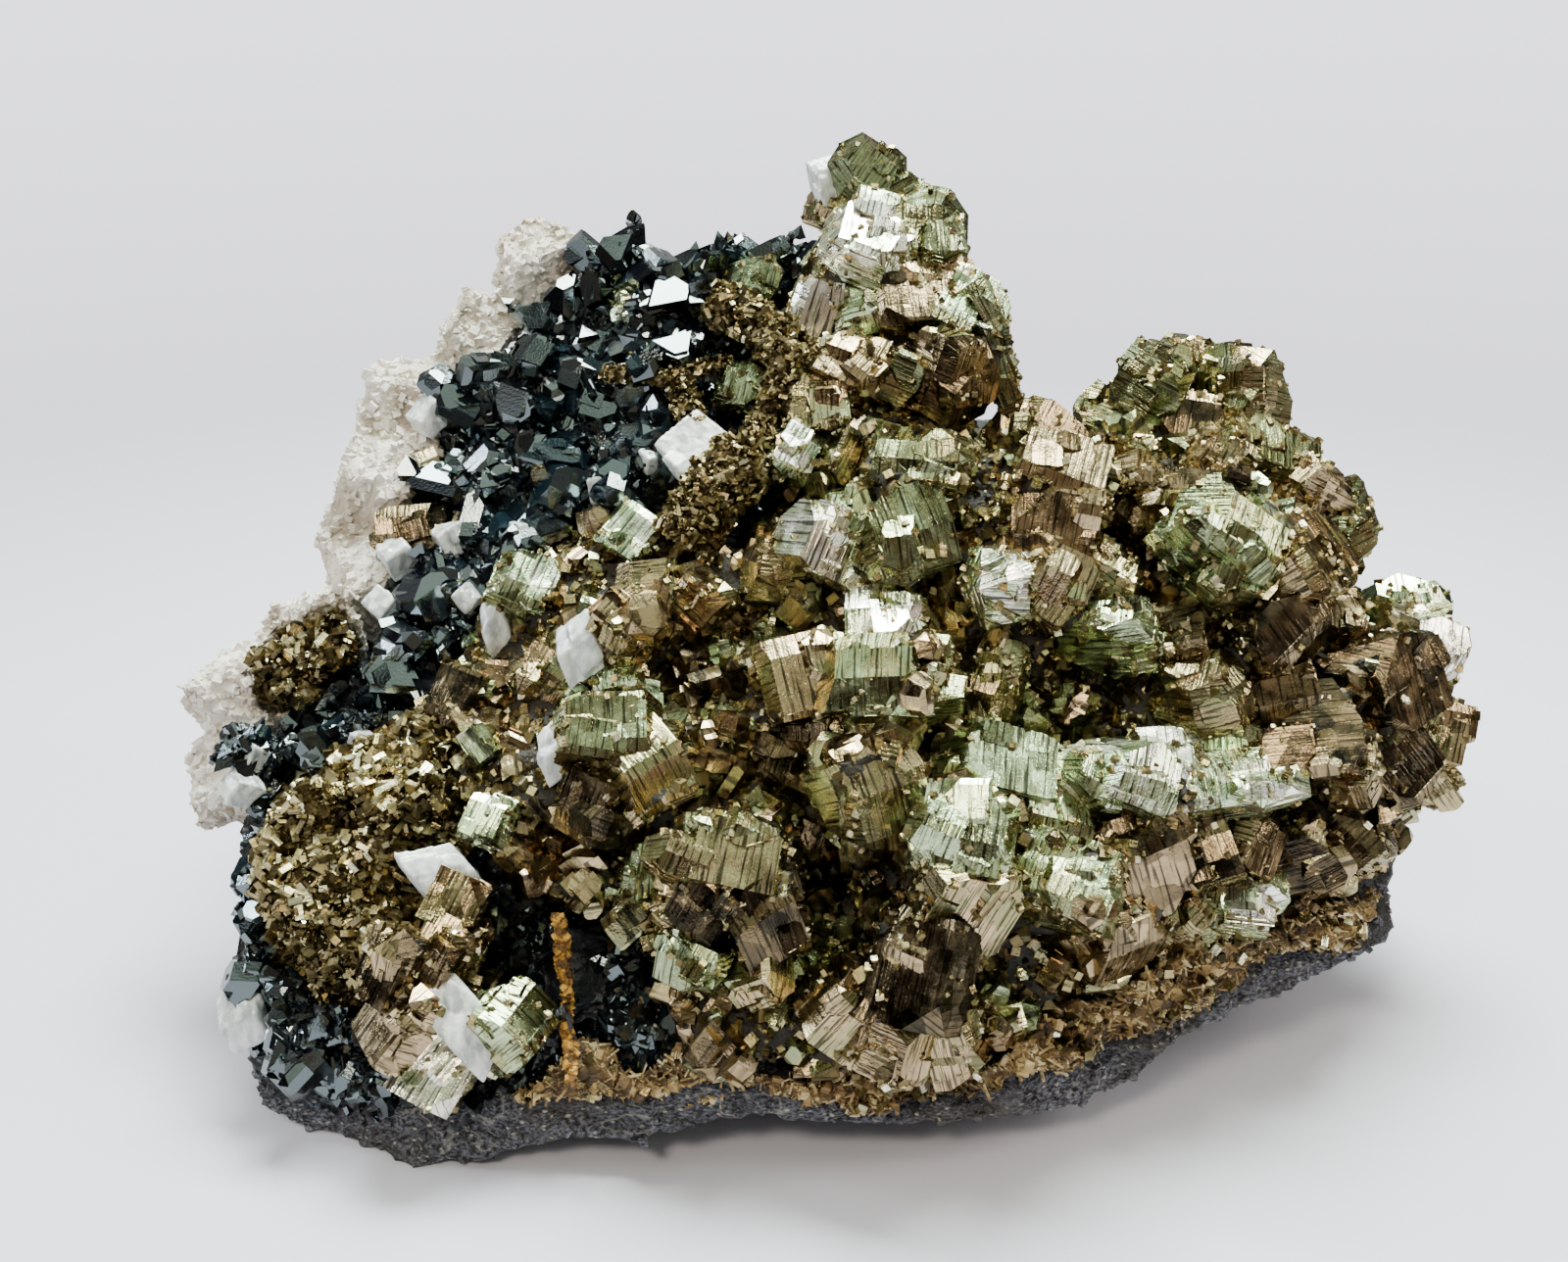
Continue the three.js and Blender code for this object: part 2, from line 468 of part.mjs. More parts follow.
const LOWER_FIELD = [
  [248, 762], [370, 738], [400, 772], [312, 830], [292, 930], [306, 1030], [400, 1060], [410, 1120],
  [340, 1132], [246, 1040], [238, 900],
];
const HOLLOW_FIELD = [[556, 930], [636, 930], [668, 1010], [668, 1076], [560, 1084]];

function inside([x, y], outline) {
  let odd = false;
  outline.forEach(([ax, ay], i) => {
    const [bx, by] = outline[(i + 1) % outline.length];
    if (ay > y !== by > y && x < ax + ((y - ay) * (bx - ax)) / (by - ay)) odd = !odd;
  });
  return odd;
}

// Crystals over a field of the picture, a step apart in staggered rows
function field(outline, step, base) {
  const found = [];
  for (let row = 0; row * step < PICTURE.height; row++) {
    for (let x = ((row % 2) * step) / 2; x < PICTURE.width; x += step) {
      const shift = [chance(x, row, 1) - 0.5, chance(x, row, 2) - 0.5];
      const px = [x + shift[0] * step * 0.5, row * step * 0.87 + shift[1] * step * 0.5];
      const mm = base.mm * (0.8 + 0.5 * chance(x, row, 4));
      if (inside(px, outline)) found.push({ ...base, px, mm });
    }
  }
  return found;
}

// A faceted rod along a path, its thickness changing from step to step
function rod({ thick, lift, footLift = lift, through }, grow) {
  const last = through.length - 1;
  const line = through.map((px, i) => {
    const own = THREE.MathUtils.lerp(lift, footLift, i / last);
    return seatAt(px).addScaledVector(sightLine(px), -own);
  });
  const sides = 6;
  const steps = 4;
  const section = new THREE.Shape(Array.from({ length: sides }, (_, i) => {
    const angle = (i * 2 * Math.PI) / sides;
    return new THREE.Vector2(Math.cos(angle), Math.sin(angle))
      .multiplyScalar((thick / 2) * (0.85 + 0.3 * chance(i, thick)) + grow);
  }));
  return toSolid(new THREE.ExtrudeGeometry(section, {
    steps, bevelEnabled: false, extrudePath: new THREE.CatmullRomCurve3(line),
  }));
}

// White calcite: single crystals, each at its own place
const CALCITES = {
  calcite_blade_lower_left: {
    px: [476, 1046], mm: 7.6, form: 'rhomb', lift: 7.5, stretch: [0.62, 0.3, 1.05], turn: [-6, -18, 14],
  },
  calcite_blade_left: {
    px: [450, 892], mm: 6, form: 'rhomb', lift: 6.5, stretch: [1.1, 0.35, 0.7], turn: [-12, 10, 30],
  },
  calcite_grain_centre_left: {
    px: [567, 768], mm: 4.6, form: 'rhomb', lift: 6.5, stretch: [0.6, 0.5, 1], turn: [0, 10, -8],
  },
  calcite_plate_upper: {
    px: [716, 466], mm: 7.2, form: 'rhomb', lift: 3.5, stretch: [1, 0.35, 1], turn: [-8, -10, 24],
  },
  calcite_plate_middle: {
    px: [590, 664], mm: 5.6, form: 'rhomb', lift: 6.5, stretch: [0.8, 0.3, 1.05], turn: [0, 12, -24],
  },
  calcite_plate_left: {
    px: [506, 634], mm: 5.2, form: 'rhomb', lift: 4.5, stretch: [0.45, 0.4, 1.2], turn: [0, 0, -10],
  },
  calcite_rim_lower_left: {
    px: [248, 1042], mm: 5.4, form: 'rhomb', lift: 2.6, stretch: [0.8, 0.4, 0.95], turn: [0, 14, -4],
  },
  calcite_on_peak: {
    px: [850, 184], mm: 5.4, form: 'rhomb', lift: 3, stretch: [0.9, 0.5, 0.9], turn: [-10, 10, 20],
  },
};

// The pale calcite crust that shows behind the sphalerite along the left edge
const PALE_CRUST = [
  { px: [556, 284], mm: 11 }, { px: [492, 360], mm: 11 }, { px: [424, 418], mm: 11 },
  { px: [396, 500], mm: 10 }, { px: [388, 590], mm: 10 }, { px: [326, 656], mm: 10 },
  { px: [262, 706], mm: 10 }, { px: [238, 796], mm: 9 },
].map((piece) => ({ ...piece, form: 'lump', lift: -3 }));

// Rusty crust between the pyrite and the rock's lower rim
const RUSTY_CRUST = [
  { px: [600, 1112], mm: 7 }, { px: [724, 1106], mm: 7.6 }, { px: [870, 1116], mm: 7.4 },
  { px: [1060, 1060], mm: 9 }, { px: [1176, 1000], mm: 9 }, { px: [1330, 944], mm: 9 },
].map((piece) => ({ ...piece, form: 'lump', lift: 1.4 }));

// Colours and finish of each mineral
const MINERALS = {
  matrix: { color: 0x4a4a50, roughness: 0.85, metalness: 0 },
  pyrite: { color: 0xa89a6a, roughness: 0.35, metalness: 1 },
  druse: { color: 0x8f7c48, roughness: 0.45, metalness: 1 },
  sphalerite: { color: 0x101318, roughness: 0.2, metalness: 0 },
  calcite: { color: 0xdfe2dc, roughness: 0.3, metalness: 0 },
  palecrust: { color: 0xd6cfc2, roughness: 0.8, metalness: 0 },
  rust: { color: 0x9a6a28, roughness: 0.8, metalness: 0 },
};

// The pieces in the order that they take their place: each is cut back from the rock and from every
// piece before it, with the gap left between them.
const SMALL_SPHALERITE = { mm: 6.6, form: 'tetrahedral', lift: 2.4 };
const PIECES = [
  ...Object.entries(CALCITES).map(([name, one]) => ({ name, mineral: 'calcite', crystals: [one] })),
  { name: 'rusty_rod', mineral: 'rust', rods: RUSTY_ROD },
  { name: 'pyrite_lone_crystal', mineral: 'pyrite', crystals: LONE_CRYSTAL },
  { name: 'pyrite_top_pair', mineral: 'pyrite', crystals: TOP_PAIR },
  { name: 'pyrite_left_knob', mineral: 'druse', crystals: LEFT_KNOB },
  { name: 'calcite_pale_crust', mineral: 'palecrust', crystals: PALE_CRUST },
  { name: 'pyrite_rods', mineral: 'druse', rods: PYRITE_RODS },
  { name: 'pyrite_branch', mineral: 'druse', rods: PYRITE_BRANCH },
  {
    name: 'pyrite_peak', mineral: 'pyrite', crystals: PEAK,
    base: { outline: PEAK_FIELD, thick: CRUST },
  },
  {
    name: 'pyrite_lower_left', mineral: 'pyrite', crystals: LOWER_LEFT,
    base: { outline: LOWER_LEFT_FIELD, thick: CRUST },
  },
  {
    name: 'pyrite_left_dome', mineral: 'druse', crystals: LEFT_DOME,
    base: { outline: DOME_FIELD, thick: THIN_CRUST },
  },
  {
    name: 'pyrite_mass', mineral: 'pyrite', crystals: [...MIDDLE_PART, ...RIGHT_SIDE],
    base: { outline: MASS_FIELD, thick: CRUST },
  },
  {
    name: 'rusty_crust', mineral: 'rust', crystals: RUSTY_CRUST,
    base: { outline: RIM_FIELD, thick: THIN_CRUST },
  },
  {
    name: 'sphalerite_hollow', mineral: 'sphalerite',
    crystals: field(HOLLOW_FIELD, 80, SMALL_SPHALERITE),
    base: { outline: HOLLOW_FIELD, thick: THIN_CRUST },
  },
  {
    name: 'sphalerite_lower_left', mineral: 'sphalerite',
    crystals: [...SPHALERITE_LOWER, ...field(LOWER_FIELD, 100, SMALL_SPHALERITE)],
    base: { outline: LOWER_FIELD, thick: THIN_CRUST },
  },
  {
    name: 'sphalerite_upper_left', mineral: 'sphalerite',
    crystals: [...SPHALERITE_UPPER, ...field(UPPER_FIELD, 112, SMALL_SPHALERITE)],
    base: { outline: UPPER_FIELD, thick: THIN_CRUST },
  },
];

const specimen = new THREE.Group();

function place(name, solid, mineral) {
  const mesh = new THREE.Mesh(toGeometry(solid), new THREE.MeshStandardMaterial(MINERALS[mineral]));
  mesh.name = name;
  specimen.add(mesh);
}

place('matrix', matrixSolid, 'matrix');
let taken = rockSolid(GAP).add(matrixSolid);
for (const { name, mineral, crystals = [], rods = [], base } of PIECES) {
  const whole = (grow) => join([
    ...(base ? [crust(base, grow)] : []),
    ...crystals.map((one) => crystal(one, grow)),
    ...rods.map((one) => rod(one, grow)),
  ]);
  place(name, largest(whole(0).subtract(taken).intersect(aboveGround)), mineral);
  taken = taken.add(whole(GAP));
}

export default specimen;
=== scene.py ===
import itertools
import json
import math

import bpy
import numpy as np
from mathutils import Euler, Matrix, Vector, noise
from mathutils.bvhtree import BVHTree

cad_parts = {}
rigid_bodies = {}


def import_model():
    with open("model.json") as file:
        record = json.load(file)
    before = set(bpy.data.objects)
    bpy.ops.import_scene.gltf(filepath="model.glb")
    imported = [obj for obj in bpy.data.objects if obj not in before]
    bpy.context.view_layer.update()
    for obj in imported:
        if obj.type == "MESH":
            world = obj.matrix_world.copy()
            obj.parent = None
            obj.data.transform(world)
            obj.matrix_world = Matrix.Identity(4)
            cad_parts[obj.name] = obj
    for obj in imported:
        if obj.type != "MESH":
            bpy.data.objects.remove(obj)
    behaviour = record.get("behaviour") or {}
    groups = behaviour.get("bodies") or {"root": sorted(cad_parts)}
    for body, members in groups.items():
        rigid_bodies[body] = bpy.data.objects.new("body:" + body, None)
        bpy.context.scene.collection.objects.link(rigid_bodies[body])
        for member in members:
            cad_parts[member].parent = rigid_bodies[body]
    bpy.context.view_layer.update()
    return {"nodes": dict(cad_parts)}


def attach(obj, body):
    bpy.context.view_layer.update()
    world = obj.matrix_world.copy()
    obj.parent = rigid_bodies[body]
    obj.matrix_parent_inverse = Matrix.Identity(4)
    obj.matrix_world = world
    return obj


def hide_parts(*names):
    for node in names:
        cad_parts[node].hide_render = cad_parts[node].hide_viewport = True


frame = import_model()

MM = 0.001
UNIT_SHAPES = 8  # how many different crystals are repeated over a surface

# The photograph's frame, and the eye point that the face of the specimen is drawn from
PICTURE = (1600, 1288)
FOCAL = 1500
SENSOR = 36
EYE = np.array((-4.35, -120.2, 82.5))
PITCH = math.radians(22.16)
FORWARD = np.array((0, math.cos(PITCH), -math.sin(PITCH)))
RIGHT = np.array((1, 0, 0))
UPWARD = np.array((0, math.sin(PITCH), math.cos(PITCH)))

# Where a pyrite face lies between dark and bright metal. The scale is partly the metal's own tarnish
# and partly painted reflection: the mint end is a painted sheen of the mint-white light above, the
# silver end a painted highlight
DARK, BRONZE, TAN, OLIVE, SAGE, MINT_SHEEN, SILVER_HIGHLIGHT = 0.06, 0.2, 0.36, 0.5, 0.66, 0.84, 1.0
PYRITE_TONES = [
    (0.0, (0.016, 0.013, 0.010)), (DARK, (0.040, 0.034, 0.024)), (BRONZE, (0.170, 0.125, 0.070)),
    (TAN, (0.44, 0.325, 0.190)), (OLIVE, (0.265, 0.240, 0.120)), (SAGE, (0.270, 0.300, 0.165)),
    (MINT_SHEEN, (0.57, 0.70, 0.44)), (SILVER_HIGHLIGHT, (0.96, 0.92, 0.82)),
]

# How far the rock's face is from the eye, in millimetres, at pixels where the rock itself ends
RELIEF = {
    (420, 1195): 115, (262, 1130): 119.5, (560, 1165): 113.5, (700, 1155): 112.5, (850, 1150): 112,
    (1000, 1150): 113, (1170, 1105): 117, (1330, 1005): 122, (1430, 950): 125.5, (225, 1000): 122.5,
    (220, 880): 125.5, (235, 740): 128.5, (310, 650): 131.5, (390, 540): 136, (390, 420): 141,
    (520, 330): 143, (590, 260): 144, (740, 250): 143.5, (880, 210): 139, (985, 320): 136,
    (1010, 440): 135, (1130, 430): 137.5, (1215, 390): 138, (1320, 450): 139, (1385, 560): 137.5,
    (1460, 640): 137, (1465, 770): 134, (1430, 860): 129, (560, 420): 139, (450, 470): 139,
    (650, 380): 139, (620, 480): 136, (480, 600): 133, (420, 690): 131, (300, 780): 127,
    (370, 880): 121, (340, 1080): 119, (470, 1000): 118, (600, 1010): 122, (560, 850): 121,
    (740, 920): 115, (560, 660): 127, (690, 720): 125.5, (820, 600): 128, (880, 700): 122,
    (960, 850): 114, (840, 950): 119, (940, 1030): 113.5, (1085, 740): 125.5, (1070, 520): 127,
    (930, 470): 131, (720, 490): 132, (780, 390): 135, (890, 290): 136, (1250, 560): 127,
    (1250, 700): 123, (1200, 840): 119.5, (1380, 720): 128, (1100, 950): 118, (1300, 880): 122.5,
}
RELIEF_BLUR = 75
RELIEF_LEAST = 0.05  # keeps the weight of a pixel itself finite


# The camera, at the eye point


def set_camera():
    camera = bpy.data.cameras.new("camera")
    camera.sensor_width = SENSOR
    camera.lens = SENSOR * FOCAL / PICTURE[0]
    camera.clip_start = 0.005
    holder = bpy.data.objects.new("camera", camera)
    holder.location = EYE * MM
    holder.rotation_euler = (math.pi / 2 - PITCH, 0, 0)
    bpy.context.scene.collection.objects.link(holder)
    bpy.context.scene.camera = holder


set_camera()


# Places on the rock


def chance(a, b, c=0):
    """A number from 0 to 1, always the same for the same arguments"""
    wave = math.sin(a * 12.9898 + b * 78.233 + c * 37.719) * 43758.5453
    return wave - math.floor(wave)


def relief_at(px):
    """How far the rock's face is from the eye at a pixel"""
    apart = [((px[0] - x) ** 2 + (px[1] - y) ** 2) / RELIEF_BLUR ** 2 for x, y in RELIEF]
    weights = [1 / (RELIEF_LEAST + one) ** 2 for one in apart]
    return sum(w * far for w, far in zip(weights, RELIEF.values())) / sum(weights)


def sight_line(px):
    """The line of sight through a pixel, one millimetre long straight ahead"""
    right = (px[0] - PICTURE[0] / 2) / FOCAL
    up = (PICTURE[1] / 2 - px[1]) / FOCAL
    return FORWARD + RIGHT * right + UPWARD * up


def pixels_of(points):
    """The pixels at which the eye sees points"""
    apart = points - EYE
    far = apart @ FORWARD
    x = PICTURE[0] / 2 + FOCAL * (apart @ RIGHT) / far
    y = PICTURE[1] / 2 - FOCAL * (apart @ UPWARD) / far
    return np.stack([x, y], axis=1)


def points_of(mesh):
    flat = np.empty(len(mesh.vertices) * 3)
    mesh.vertices.foreach_get("co", flat)
    return flat.reshape(-1, 3) / MM


def tree_of(mesh):
    faces = [tuple(face.vertices) for face in mesh.polygons]
    return BVHTree.FromPolygons(points_of(mesh).tolist(), faces)


rock_tree = tree_of(frame["nodes"]["matrix"].data)


def seat_at(px):
    """The point of the rock that the eye sees at a pixel"""
    line = sight_line(px)
    hit = rock_tree.ray_cast(Vector(EYE), Vector(line).normalized())[0]
    return EYE + line * relief_at(px) if hit is None else np.array(hit)


# Crystal forms: sets of face directions, each with its distance from the middle as a share of the
# crystal's half size, and how far those distances differ

SIGNS = (-1, 1)
CORNERS = [(x, y, z) for x in SIGNS for y in SIGNS for z in SIGNS]
CUBE = [(1, 0, 0), (-1, 0, 0), (0, 1, 0), (0, -1, 0), (0, 0, 1), (0, 0, -1)]
PYRITOHEDRON = [
    face for a in SIGNS for b in (-2, 2) for face in ((b, a, 0), (0, b, a), (a, 0, b))
]
RHOMB_SIDES = [
    (math.cos(math.radians(turn)), math.sin(math.radians(turn)), 0.75) for turn in (0, 120, 240)
]
RHOMB = [tuple(way * v for v in side) for side in RHOMB_SIDES for way in (1, -1)]
TETRAHEDRON = [c for c in CORNERS if c[0] * c[1] * c[2] > 0]
OPPOSITE = [c for c in CORNERS if c[0] * c[1] * c[2] < 0]
FORMS = {
    "pyritohedron": ([(PYRITOHEDRON, 0.94)], 0.22),
    "cube": ([(CUBE, 0.82)], 0.24),
    "stepped": ([(CUBE, 0.86), (PYRITOHEDRON[:1], 0.86)], 0.3),
    "tetrahedral": ([(TETRAHEDRON, 0.62), (OPPOSITE[:1], 0.9)], 0.4),
    "rhomb": ([(RHOMB, 0.75)], 0.2),
}

# Small faces that take the edges and corners off a form: its own set of directions, how far out
# they lie, and the share of them that a crystal has
TRIMS = {
    "pyritohedron": [(CUBE, 0.88, 0.5), (CORNERS, 0.98, 0.5)],
    "cube": [(PYRITOHEDRON, 0.93, 0.55), (CORNERS, 1.08, 0.5)],
    "stepped": [(PYRITOHEDRON, 0.96, 0.6), (CORNERS, 1.1, 0.6)],
    "tetrahedral": [(CUBE, 0.72, 0.8), (OPPOSITE, 0.8, 0.8)],
    "rhomb": [(CORNERS, 0.95, 0.2)],
}


def seed_of(one):
    """The number that a large crystal's own chances start from"""
    return one["px"][0] * 0.37 + one["px"][1] * 0.61


def planes_of(form, mm, stretch, seed, trimmed=True):
    """The faces' directions and their distances from the middle of one crystal"""
    groups, uneven = FORMS[form]
    wanted = [(face, distance) for faces, distance in groups for face in faces]
    if trimmed:
        for kind, (faces, distance, share) in enumerate(TRIMS[form]):
            wanted += [
                (face, distance) for i, face in enumerate(faces) if chance(seed, i, 11 + kind) < share
            ]
    ways, reach = [], []
    for i, (face, distance) in enumerate(wanted):
        way = np.array(face, float) / np.linalg.norm(face) / stretch
        length = np.linalg.norm(way)
        own = distance * (1 + uneven * (chance(seed, i, 3) - 0.5))
        ways.append(way / length)
        reach.append(own * mm / 2 / length)
    return np.array(ways), np.array(reach)


def hull_faces(ways, reach):
    """The faces of the body that the planes enclose: for each, its plane and its corners in order"""
    threes = np.array(list(itertools.combinations(range(len(ways)), 3)))
    a, b, c = ways[threes[:, 0]], ways[threes[:, 1]], ways[threes[:, 2]]
    volume = np.einsum("ij,ij->i", np.cross(a, b), c)
    threes = threes[np.abs(volume) > 1e-3]
    corners = np.linalg.solve(ways[threes], reach[threes][..., None])[..., 0]
    inside = (corners @ ways.T <= reach + 1e-5).all(axis=1)
    corners = np.unique(np.round(corners[inside], 3), axis=0)
    faces = []
    for i, way in enumerate(ways):
        own = np.where(np.abs(corners @ way - reach[i]) < 3e-3)[0]
        if len(own) < 3:
            continue
        across = np.cross(way, (0.31, 0.52, 0.79))
        across /= np.linalg.norm(across)
        apart = corners[own] - corners[own].mean(axis=0)
        angle = np.arctan2(apart @ np.cross(way, across), apart @ across)
        faces.append((i, own[np.argsort(angle)]))
    return corners, faces


# A shape in the making: corners, faces, a tone for each face and a place on it for each corner


def new_shape():
    return {"points": [], "faces": [], "tones": [], "places": []}


def add_faces(shape, points, faces, tone, places):
    start = len(shape["points"])
    shape["points"].extend(points)
    for face, own in zip(faces, places):
        shape["faces"].append([start + int(i) for i in face])
        shape["tones"].append(tone)
        shape["places"].extend(own)


def grain_way(way):
    """The direction in which the growth lines run on a face of a crystal"""
    axis = np.zeros(3)
    axis[(int(np.argmax(np.abs(way))) + 1) % 3] = 1
    along = axis - way * (axis @ way)
    return along / np.linalg.norm(along)


def clipped(outline, way, limit):
    """The part of a convex outline that lies below a limit along a way"""
    heights = outline @ way - limit
    kept = []
    for i, height in enumerate(heights):
        before = heights[i - 1]
        if (height < 0) != (before < 0):
            kept.append(outline[i - 1] + (outline[i] - outline[i - 1]) * before / (before - height))
        if height < 0:
            kept.append(outline[i])
    return np.array(kept)


RIDGE_SINK = 0.1  # how deep a ridge's foot lies in the face
RIDGE_SLANT = 0.035  # how far its top is drawn in from its foot


def ridge(shape, outline, centre, along, across, way, high, lean, tone):
    """A low closed ridge on a crystal face, from its outline in the face's own two directions"""
    low, top = outline.min(axis=0), outline.max(axis=0)
    room = top - low
    if min(room) < 3 * RIDGE_SLANT:
        return
    middle = (low + top) / 2
    drawn_in = middle + (outline - middle) * (1 - 2 * RIDGE_SLANT / room)
    heights = high + lean * (drawn_in[:, 1] - middle[1])
    flat = centre + np.outer(outline[:, 0], along) + np.outer(outline[:, 1], across)
    roof = centre + np.outer(drawn_in[:, 0], along) + np.outer(drawn_in[:, 1], across)
    foot = flat - way * RIDGE_SINK
    roof = roof + np.outer(heights, way)
    count = len(outline)
    sides = [[i, (i + 1) % count, count + (i + 1) % count, count + i] for i in range(count)]
    faces = [list(range(count))[::-1], list(range(count, 2 * count)), *sides]
    places = np.concatenate([outline, drawn_in])
    add_faces(shape, [*foot, *roof], faces, tone, [[places[i] for i in face] for face in faces])


def add_hull(shape, ways, reach, turn, middle, tone, seed):
    """One crystal body, turned and put in its place. Gives its faces back as corners and directions"""
    corners, faces = hull_faces(ways, reach)
    placed = corners @ turn.T + middle
    found = []
    for i, face in faces:
        own = placed[face]
        way = turn @ ways[i]
        along = turn @ grain_way(ways[i])
        centre = own.mean(axis=0)
        across = np.cross(way, along)
        shift = 40 * chance(seed, i, 31)
        places = np.stack([(own - centre) @ along, (own - centre) @ across + shift], axis=1)
        shade = tone + 0.16 * (chance(seed, i, 32) - 0.5)
        start = len(shape["points"])
        shape["points"].extend(own)
        shape["faces"].append(list(range(start, start + len(own))))
        shape["tones"].append(shade)
        shape["places"].extend(places)
        found.append((own, way, along, shade, i))
    return found


def grown(x, y, mm, form, tone, lift=3, stretch=(1, 1, 1), turn=None):
    """One large crystal: the pixel where it is seen, its size and form, how far it stands off the
    rock towards the eye, and its turn in degrees about the picture's right, away and up"""
    return {
        "px": (x, y), "mm": mm, "form": form, "tone": tone, "lift": lift,
        "stretch": np.array(stretch, float), "turn": turn,
    }


def stance(one):
    """The turn and the middle of a large crystal"""
    x, y = one["px"]
    angles = one["turn"] or [360 * chance(x, y, k) for k in range(3)]
    right, away, up = (math.radians(angle) for angle in angles)
    own = Euler((right, 0, 0)).to_matrix() @ Euler((0, away, 0)).to_matrix()
    own = Euler((-PITCH, 0, 0)).to_matrix() @ own @ Euler((0, 0, up)).to_matrix()
    return np.array(own), seat_at((x, y)) - sight_line((x, y)) * one["lift"]


# The large crystals

PEAK = [
    grown(884, 180, 6.6, "pyritohedron", 0.6),
    grown(881, 254, 8.8, "stepped", 0.94, 5, turn=(-34, 12, 8)),
    grown(944, 244, 8, "pyritohedron", 0.7),
    grown(833, 318, 5.8, "cube", SILVER_HIGHLIGHT, 4, (0.85, 0.8, 1.25), (12, 18, 8)),
    grown(940, 308, 8, "stepped", 0.24, 4, (0.8, 1, 1.3)),
    grown(985, 322, 7, "cube", 0.8, 4.5, turn=(-30, 25, 18)),
    grown(1008, 348, 6.4, "stepped", 0.62, 4.3, (0.7, 1, 1.5), (8, -18, -14)),
    grown(972, 380, 8.4, "stepped", 0.2, 5, turn=(24, 10, 30)),
    grown(862, 380, 6.8, "cube", 0.42, 5, turn=(-25, 28, 4)),
    grown(840, 412, 6.4, "stepped", 0.46, 4),
    grown(850, 212, 5.1, "stepped", 0.4, 1),
    grown(916, 208, 5.1, "stepped", 0.7),
    grown(852, 270, 5, "cube", 0.24),
    grown(880, 326, 5.1, "stepped", MINT_SHEEN, 4),
    grown(908, 384, 6.1, "stepped", 0.5, 4),
    grown(955, 418, 5.9, "stepped", 0.54, 2.5),
    grown(750, 398, 4.4, "stepped", 0.72, 3, turn=(-20, 14, 10)),
    grown(776, 388, 3.6, "cube", 0.66, 3, turn=(-24, 30, 6)),
    grown(764, 292, 4.6, "stepped", 0.7, 3.5, (1.3, 1, 0.8)),
]
UPPER_RIGHT = [
    grown(1170, 392, 7.4, "stepped", 0.64, 4.6),
    grown(1262, 402, 8, "stepped", 0.48, 4.5),
    grown(1058, 456, 7.4, "cube", 0.38, 4.6, (1.2, 1, 0.8), (-28, 20, 35)),
    grown(1290, 472, 9, "stepped", 0.52, 5, (1.3, 0.9, 0.8), (-35, 10, 20)),
    grown(1318, 514, 8.4, "stepped", 0.26, 4.5),
    grown(1226, 505, 8.4, "cube", 0.24, 7, (1.35, 0.8, 0.5), (-10, 8, -6)),
    grown(1078, 492, 8.2, "cube", 0.31, 6, (1.1, 1, 0.8), (-30, 18, 10)),
    grown(1072, 540, 8.8, "stepped", 0.34, 8, turn=(6, 10, -6)),
    grown(1146, 524, 8, "stepped", 0.26, 5),
    grown(1246, 545, 9.4, "stepped", 0.7, 8, (1.2, 1, 0.9), (-28, 22, 28)),
    grown(1316, 582, 10, "cube", 0.42, 8, (1.2, 1, 0.85), (-22, -26, 38)),
    grown(1366, 538, 7.6, "stepped", 0.6, 4.6),
    grown(1026, 598, 7, "pyritohedron", 0.96, 7),
    grown(1076, 598, 6.8, "cube", 0.38, 8, turn=(-12, 24, 6)),
    grown(1210, 374, 5.6, "pyritohedron", 0.5, 2),
    grown(1124, 430, 5.6, "cube", 0.6, 1.5),
    grown(1160, 474, 5.6, "cube", 0.54, 4),
    grown(1206, 434, 6.7, "stepped", 0.24),
    grown(1238, 468, 4.6, "cube", 0.4, 6, turn=(-20, 30, 12)),
    grown(1130, 590, 6.1, "stepped", 0.46, 5.5),
    grown(1250, 592, 6.1, "stepped", 0.66, 8),
    grown(1352, 634, 5.6, "stepped", 0.22, 5),
    grown(1424, 622, 6.1, "stepped", 0.78, 1, (1.3, 1, 0.7), (-40, 6, -12)),
]
LOWER_RIGHT = [
    grown(1134, 650, 7.4, "cube", 0.8, 6, (1.2, 1, 0.6), (-38, 14, -22)),
    grown(1284, 648, 9, "stepped", 0.2, 6.5),
    grown(1448, 660, 7.6, "cube", SILVER_HIGHLIGHT, 4.7, turn=(10, 24, 14)),
    grown(1228, 712, 8.4, "pyritohedron", 0.48, 7),
    grown(1396, 696, 10, "stepped", 0.12, 5.5, turn=(12, -20, 30)),
    grown(1448, 744, 7, "cube", 0.4, 4.6, turn=(-14, 18, 4)),
    grown(1342, 766, 9.4, "stepped", 0.16, 7),
    grown(1402, 784, 9, "stepped", 0.1, 5),
    grown(1148, 800, 9, "stepped", 0.88, 9, (1.05, 0.9, 0.75), (-26, 14, 20)),
    grown(1236, 808, 9, "stepped", 0.86, 9, (1.25, 0.9, 0.62), (-24, -6, -10)),
    grown(1162, 870, 9, "cube", 0.2, 5.5, turn=(20, -20, 12)),
    grown(1206, 652, 6.1, "stepped", 0.24, 6),
    grown(1300, 708, 6.7, "stepped", 0.22, 7),
    grown(1232, 760, 6.4, "cube", 0.62, 8, (1.3, 0.9, 0.6), (18, -8, 12)),
    grown(1188, 780, 5.6, "stepped", 0.95, 9.5, turn=(-30, 0, -10)),
    grown(1288, 800, 4.8, "cube", 0.7, 7.5, turn=(-20, 12, 16)),
    grown(1456, 790, 5.1, "stepped", 0.4, 1),
    grown(1222, 872, 6.1, "stepped", 0.16, 5.5),
    grown(1270, 864, 5.1, "cube", 0.35, 6.5, turn=(-18, 24, 34)),
    grown(1322, 870, 6.7, "stepped", 0.16, 4.5),
    grown(1376, 862, 6.4, "stepped", 0.26),
    grown(1190, 928, 5.9, "stepped", 0.42, 3.5),
    grown(1252, 920, 6, "cube", 0.9, 4.5, (1.3, 1, 0.7), (-34, 12, -16)),
]
